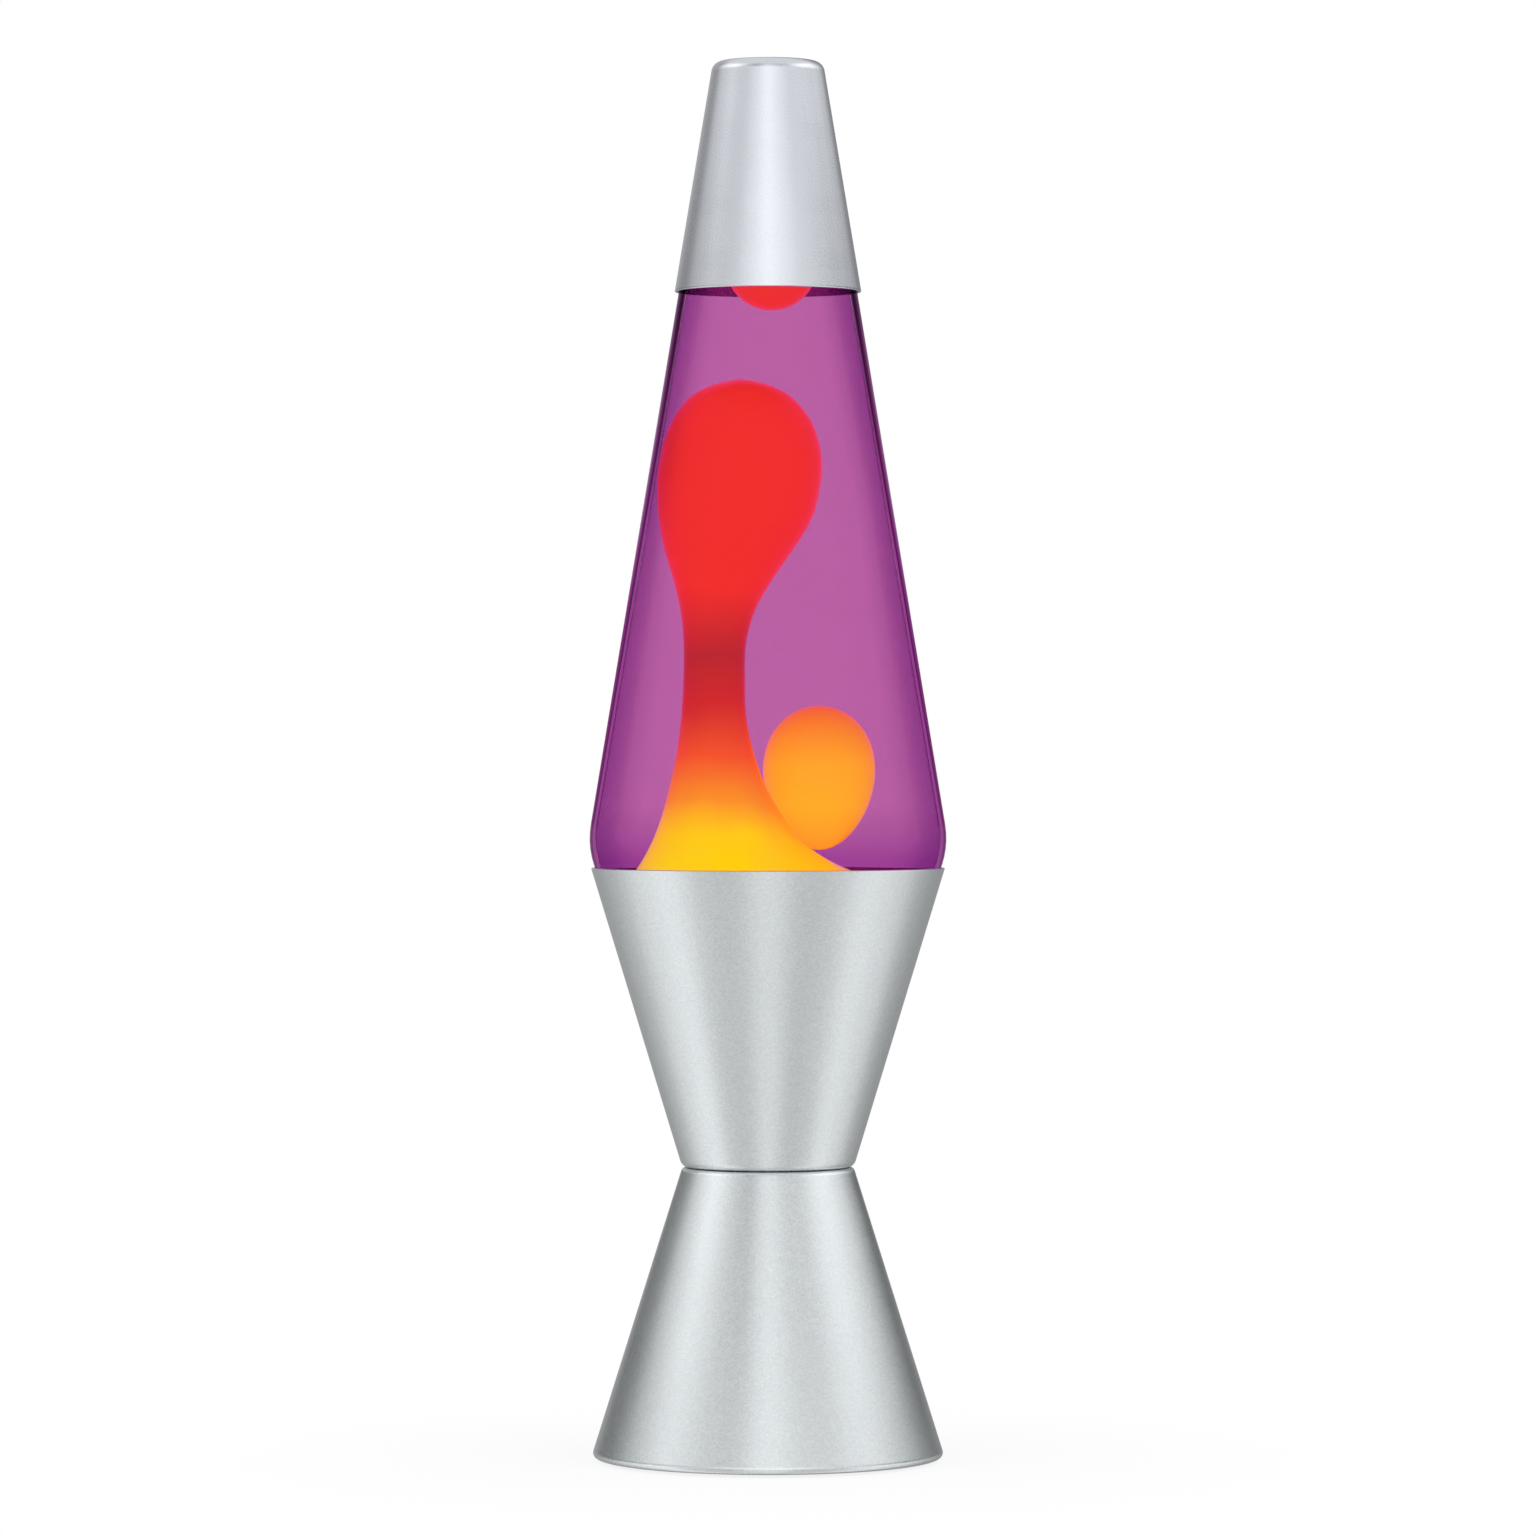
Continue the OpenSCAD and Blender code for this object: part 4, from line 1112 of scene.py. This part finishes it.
def make_world(light):
    """A white surround: the camera sees it plain, and gloss sees soft boxes round the lamp."""
    world = bpy.data.worlds.new("Studio")
    world.use_nodes = True
    bpy.context.scene.world = world
    wire = Wiring(world.node_tree)
    world.node_tree.nodes.clear()
    x, y, z = wire.parts(wire.add("ShaderNodeTexCoord").outputs["Generated"])
    around = wire.math("ARCTAN2", x, wire.math("MULTIPLY", y, -1.0))
    turn = wire.math("MULTIPLY_ADD", around, 1 / math.tau, 0.5)

    band_gain, box_strength = 0.78, 1.6

    def lit(stops):
        """Soft boxes round the lamp: degrees round from the camera towards +X, and brightness."""
        return wire.ramp(turn, [((angle + 180) / 360, band_gain * bright) for angle, bright in stops],
                         smooth=True)

    # Below the lamp, mirrored by the upper cone
    low = lit([(-180, 0.30), (-150, 0.30), (-126, 0.42), (-100, 0.69), (-74, 0.85), (-50, 0.54), (-24, 0.50),
               (-5, 0.74), (5, 0.74), (24, 0.48), (50, 0.54), (74, 0.79), (104, 0.64), (128, 0.34), (150, 0.26),
               (180, 0.28)])
    # Above the lamp, mirrored by the lower cone
    high = lit([(-180, 0.40), (-158, 0.40), (-144, 0.32), (-128, 0.30), (-104, 0.94), (-76, 1.30), (-60, 0.95),
                (-46, 0.54), (-24, 0.10), (-4, 0.66), (4, 0.66), (24, 0.34), (46, 0.50), (60, 0.92), (76, 1.26),
                (106, 1.10), (130, 0.66), (150, 0.22), (180, 0.20)])
    # A little above the level, mirrored by the cap
    front = lit([(-180, 0.10), (-152, 0.06), (-128, 0.10), (-106, 0.12), (-74, 0.27), (-60, 0.38), (-47, 0.58),
                 (-23, 1.02), (0, 1.12), (23, 1.0), (47, 0.70), (60, 0.50), (74, 0.24), (106, 0.02), (128, 0.02),
                 (152, 0.03), (180, 0.08)])
    cones = wire.mix(wire.between(z, -0.1, 0.1), low, high)
    # A wall that leans is seen to mirror a curve that sinks towards its sides: this levels it
    sink = wire.math("COSINE", wire.math("MULTIPLY", around, 0.5))
    rise = wire.math("DIVIDE", z, wire.math("MAXIMUM", sink, 0.12))
    level = wire.math("MULTIPLY", wire.between(rise, 0.12, 0.20), wire.between(rise, 0.49, 0.44))
    studio = wire.mix(level, cones, front)
    ceiling, backdrop = (0.50, 0.50, 0.50), (0.62, 0.62, 0.62)
    studio = wire.mix(wire.between(z, 0.58, 0.74), studio, ceiling)
    path = wire.add("ShaderNodeLightPath").outputs
    studio = wire.mix(path["Is Transmission Ray"], studio, backdrop)
    seen = path["Is Camera Ray"]
    plain = wire.add("ShaderNodeBackground", {"Color": (1.0, 1.0, 1.0, 1.0), "Strength": 1.0}).outputs[0]
    boxes = wire.add("ShaderNodeBackground", {"Color": studio, "Strength": box_strength * light}).outputs[0]
    both = wire.add("ShaderNodeMixShader", {0: seen, 1: boxes, 2: plain}).outputs[0]
    wire.add("ShaderNodeOutputWorld", {"Surface": both})


def make_floor(colour):
    """A pale floor that fades to the white of the surround away from the lamp."""
    radius, clearance = 3.0, 0.2 * MM
    fade_from, fade_to = 0.05, 0.16
    work = bmesh.new()
    bmesh.ops.create_circle(work, cap_ends=True, segments=96, radius=radius)
    bmesh.ops.inset_region(work, faces=work.faces, thickness=radius / 2)
    mesh = bpy.data.meshes.new("floor")
    work.to_mesh(mesh)
    work.free()
    mesh.transform(Matrix.Translation((0, 0, CAD_BOX[0][2] - clearance)))
    floor = bpy.data.objects.new("floor", mesh)
    bpy.context.scene.collection.objects.link(floor)
    made = bpy.data.materials.new("Plain floor")
    made.use_nodes = True
    wire = Wiring(made.node_tree)
    made.node_tree.nodes.clear()
    place = wire.add("ShaderNodeTexCoord").outputs["Object"]
    far = wire.between(wire.vector("LENGTH", place), fade_from, fade_to)
    matt = wire.add("ShaderNodeBsdfDiffuse", {"Color": (*colour, 1.0)}).outputs[0]
    white = wire.add("ShaderNodeEmission", {"Color": (1.0, 1.0, 1.0, 1.0), "Strength": 1.0}).outputs[0]
    share = wire.between(far, 0.0, 1.0, 0.86, 1.0)
    camera = wire.add("ShaderNodeLightPath").outputs["Is Camera Ray"]
    plain = wire.math("MULTIPLY", share, camera)
    both = wire.add("ShaderNodeMixShader", {0: plain, 1: matt, 2: white}).outputs[0]
    wire.add("ShaderNodeOutputMaterial", {"Surface": both})
    mesh.materials.append(made)
    floor.visible_glossy = False
    floor.visible_transmission = False


def area_light(name, place, aim, size, power):
    light = bpy.data.lights.new(name, "AREA")
    light.shape, light.size, light.size_y, light.energy = "RECTANGLE", size, size, power
    lamp = bpy.data.objects.new(name, light)
    lamp.location = place
    lamp.rotation_euler = (Vector(aim) - Vector(place)).to_track_quat("-Z", "Y").to_euler()
    lamp.visible_glossy = False
    lamp.visible_transmission = False
    bpy.context.scene.collection.objects.link(lamp)


def make_stage():
    settings = bpy.context.scene.lamp_stage
    camera = bpy.data.cameras.new("camera")
    camera.lens, camera.sensor_width = settings.focal_length, 36.0
    camera.clip_start, camera.clip_end = 0.01, 50.0
    viewer = bpy.data.objects.new("camera", camera)
    viewer.location = (0.0, -settings.camera_distance, settings.camera_height)
    aim = Vector((0.0, 0.0, settings.aim_height)) - viewer.location
    viewer.rotation_euler = aim.to_track_quat("-Z", "Y").to_euler()
    bpy.context.scene.collection.objects.link(viewer)
    bpy.context.scene.camera = viewer
    bpy.context.scene.view_settings.view_transform = "Standard"
    make_world(settings.light)
    make_floor(tuple(settings.floor_colour))
    # Two soft boxes, to the left and right of the camera and above it
    reach, box_size, power = 0.9, 0.9, 5.0 * settings.light
    for side in (-1, 1):
        area_light("soft_box", (side * reach, -reach, reach), (0, 0, 0.15), box_size, power)


# ---- Operators ----

class LAMP_OT_finishes(bpy.types.Operator):
    """Makes the shape trees, shader groups and materials"""
    bl_idname = "lava_lamp.finishes"
    bl_label = "Finishes"
    bl_options = {"REGISTER", "UNDO"}

    def execute(self, context):
        make_finishes()
        return {"FINISHED"}


class LAMP_OT_base_cones(bpy.types.Operator):
    """Spins the two grained aluminium cones of the base"""
    bl_idname = "lava_lamp.base_cones"
    bl_label = "Base cones"
    bl_options = {"REGISTER", "UNDO"}

    def execute(self, context):
        make_base_cones()
        return {"FINISHED"}


class LAMP_OT_waist_rivets(bpy.types.Operator):
    """Sets the rivets that join the cones"""
    bl_idname = "lava_lamp.waist_rivets"
    bl_label = "Waist rivets"
    bl_options = {"REGISTER", "UNDO"}

    def execute(self, context):
        make_waist_rivets()
        return {"FINISHED"}


class LAMP_OT_underside(bpy.types.Operator):
    """Builds the vented plate, its pads and the cord bushing"""
    bl_idname = "lava_lamp.underside"
    bl_label = "Underside"
    bl_options = {"REGISTER", "UNDO"}

    def execute(self, context):
        make_underside()
        return {"FINISHED"}


class LAMP_OT_lampholder(bpy.types.Operator):
    """Builds the porcelain holder, its strap, screws and contacts"""
    bl_idname = "lava_lamp.lampholder"
    bl_label = "Lampholder"
    bl_options = {"REGISTER", "UNDO"}

    def execute(self, context):
        make_lampholder()
        return {"FINISHED"}


class LAMP_OT_leads(bpy.types.Operator):
    """Runs the two leads and their splice caps"""
    bl_idname = "lava_lamp.leads"
    bl_label = "Leads"
    bl_options = {"REGISTER", "UNDO"}

    def execute(self, context):
        make_leads()
        return {"FINISHED"}


class LAMP_OT_bulb(bpy.types.Operator):
    """Builds the bulb that lights and heats the wax"""
    bl_idname = "lava_lamp.bulb"
    bl_label = "Bulb"
    bl_options = {"REGISTER", "UNDO"}

    def execute(self, context):
        make_bulb()
        return {"FINISHED"}


class LAMP_OT_globe(bpy.types.Operator):
    """Blows the bottle and closes it with its crown"""
    bl_idname = "lava_lamp.globe"
    bl_label = "Globe"
    bl_options = {"REGISTER", "UNDO"}

    def execute(self, context):
        make_globe()
        return {"FINISHED"}


class LAMP_OT_liquid(bpy.types.Operator):
    """Fills the bottle with purple liquid"""
    bl_idname = "lava_lamp.liquid"
    bl_label = "Liquid"
    bl_options = {"REGISTER", "UNDO"}

    def execute(self, context):
        make_liquid()
        return {"FINISHED"}


class LAMP_OT_wax(bpy.types.Operator):
    """Shapes the wax column, its drops and the wire ring"""
    bl_idname = "lava_lamp.wax"
    bl_label = "Wax"
    bl_options = {"REGISTER", "UNDO"}

    def execute(self, context):
        make_wax()
        return {"FINISHED"}


class LAMP_OT_cap(bpy.types.Operator):
    """Spins the satin cap"""
    bl_idname = "lava_lamp.cap"
    bl_label = "Cap"
    bl_options = {"REGISTER", "UNDO"}

    def execute(self, context):
        make_cap()
        return {"FINISHED"}


class LAMP_OT_stage(bpy.types.Operator):
    """Sets the floor, the light and the camera"""
    bl_idname = "lava_lamp.stage"
    bl_label = "Stage"
    bl_options = {"REGISTER", "UNDO"}

    def execute(self, context):
        make_stage()
        return {"FINISHED"}


OPERATORS = (
    LAMP_OT_finishes, LAMP_OT_base_cones, LAMP_OT_waist_rivets, LAMP_OT_underside,
    LAMP_OT_lampholder, LAMP_OT_leads, LAMP_OT_bulb, LAMP_OT_globe,
    LAMP_OT_liquid, LAMP_OT_wax, LAMP_OT_cap, LAMP_OT_stage)


class LAMP_PT_panel(bpy.types.Panel):
    """Lists the build steps with their sizes and colours."""
    bl_idname = "LAMP_PT_panel"
    bl_label = "Lava lamp"
    bl_space_type = "VIEW_3D"
    bl_region_type = "UI"
    bl_category = "Lava lamp"

    def draw(self, context):
        for group in (context.scene.lamp_sizes, context.scene.lamp_colours, context.scene.lamp_stage):
            box = self.layout.box()
            for name in group.__annotations__:
                box.prop(group, name)
        for operator in OPERATORS:
            self.layout.operator(operator.bl_idname)


CLASSES = (LampSizes, LampColours, StageSettings, *OPERATORS, LAMP_PT_panel)


def register():
    for made in CLASSES:
        bpy.utils.register_class(made)
    bpy.types.Scene.lamp_sizes = PointerProperty(type=LampSizes)
    bpy.types.Scene.lamp_colours = PointerProperty(type=LampColours)
    bpy.types.Scene.lamp_stage = PointerProperty(type=StageSettings)


def unregister():
    for name in ("lamp_stage", "lamp_colours", "lamp_sizes"):
        delattr(bpy.types.Scene, name)
    for made in reversed(CLASSES):
        bpy.utils.unregister_class(made)


def main():
    register()
    for operator in OPERATORS:
        getattr(bpy.ops.lava_lamp, operator.bl_idname.split(".")[1])()


if __name__ == "__main__":
    main()
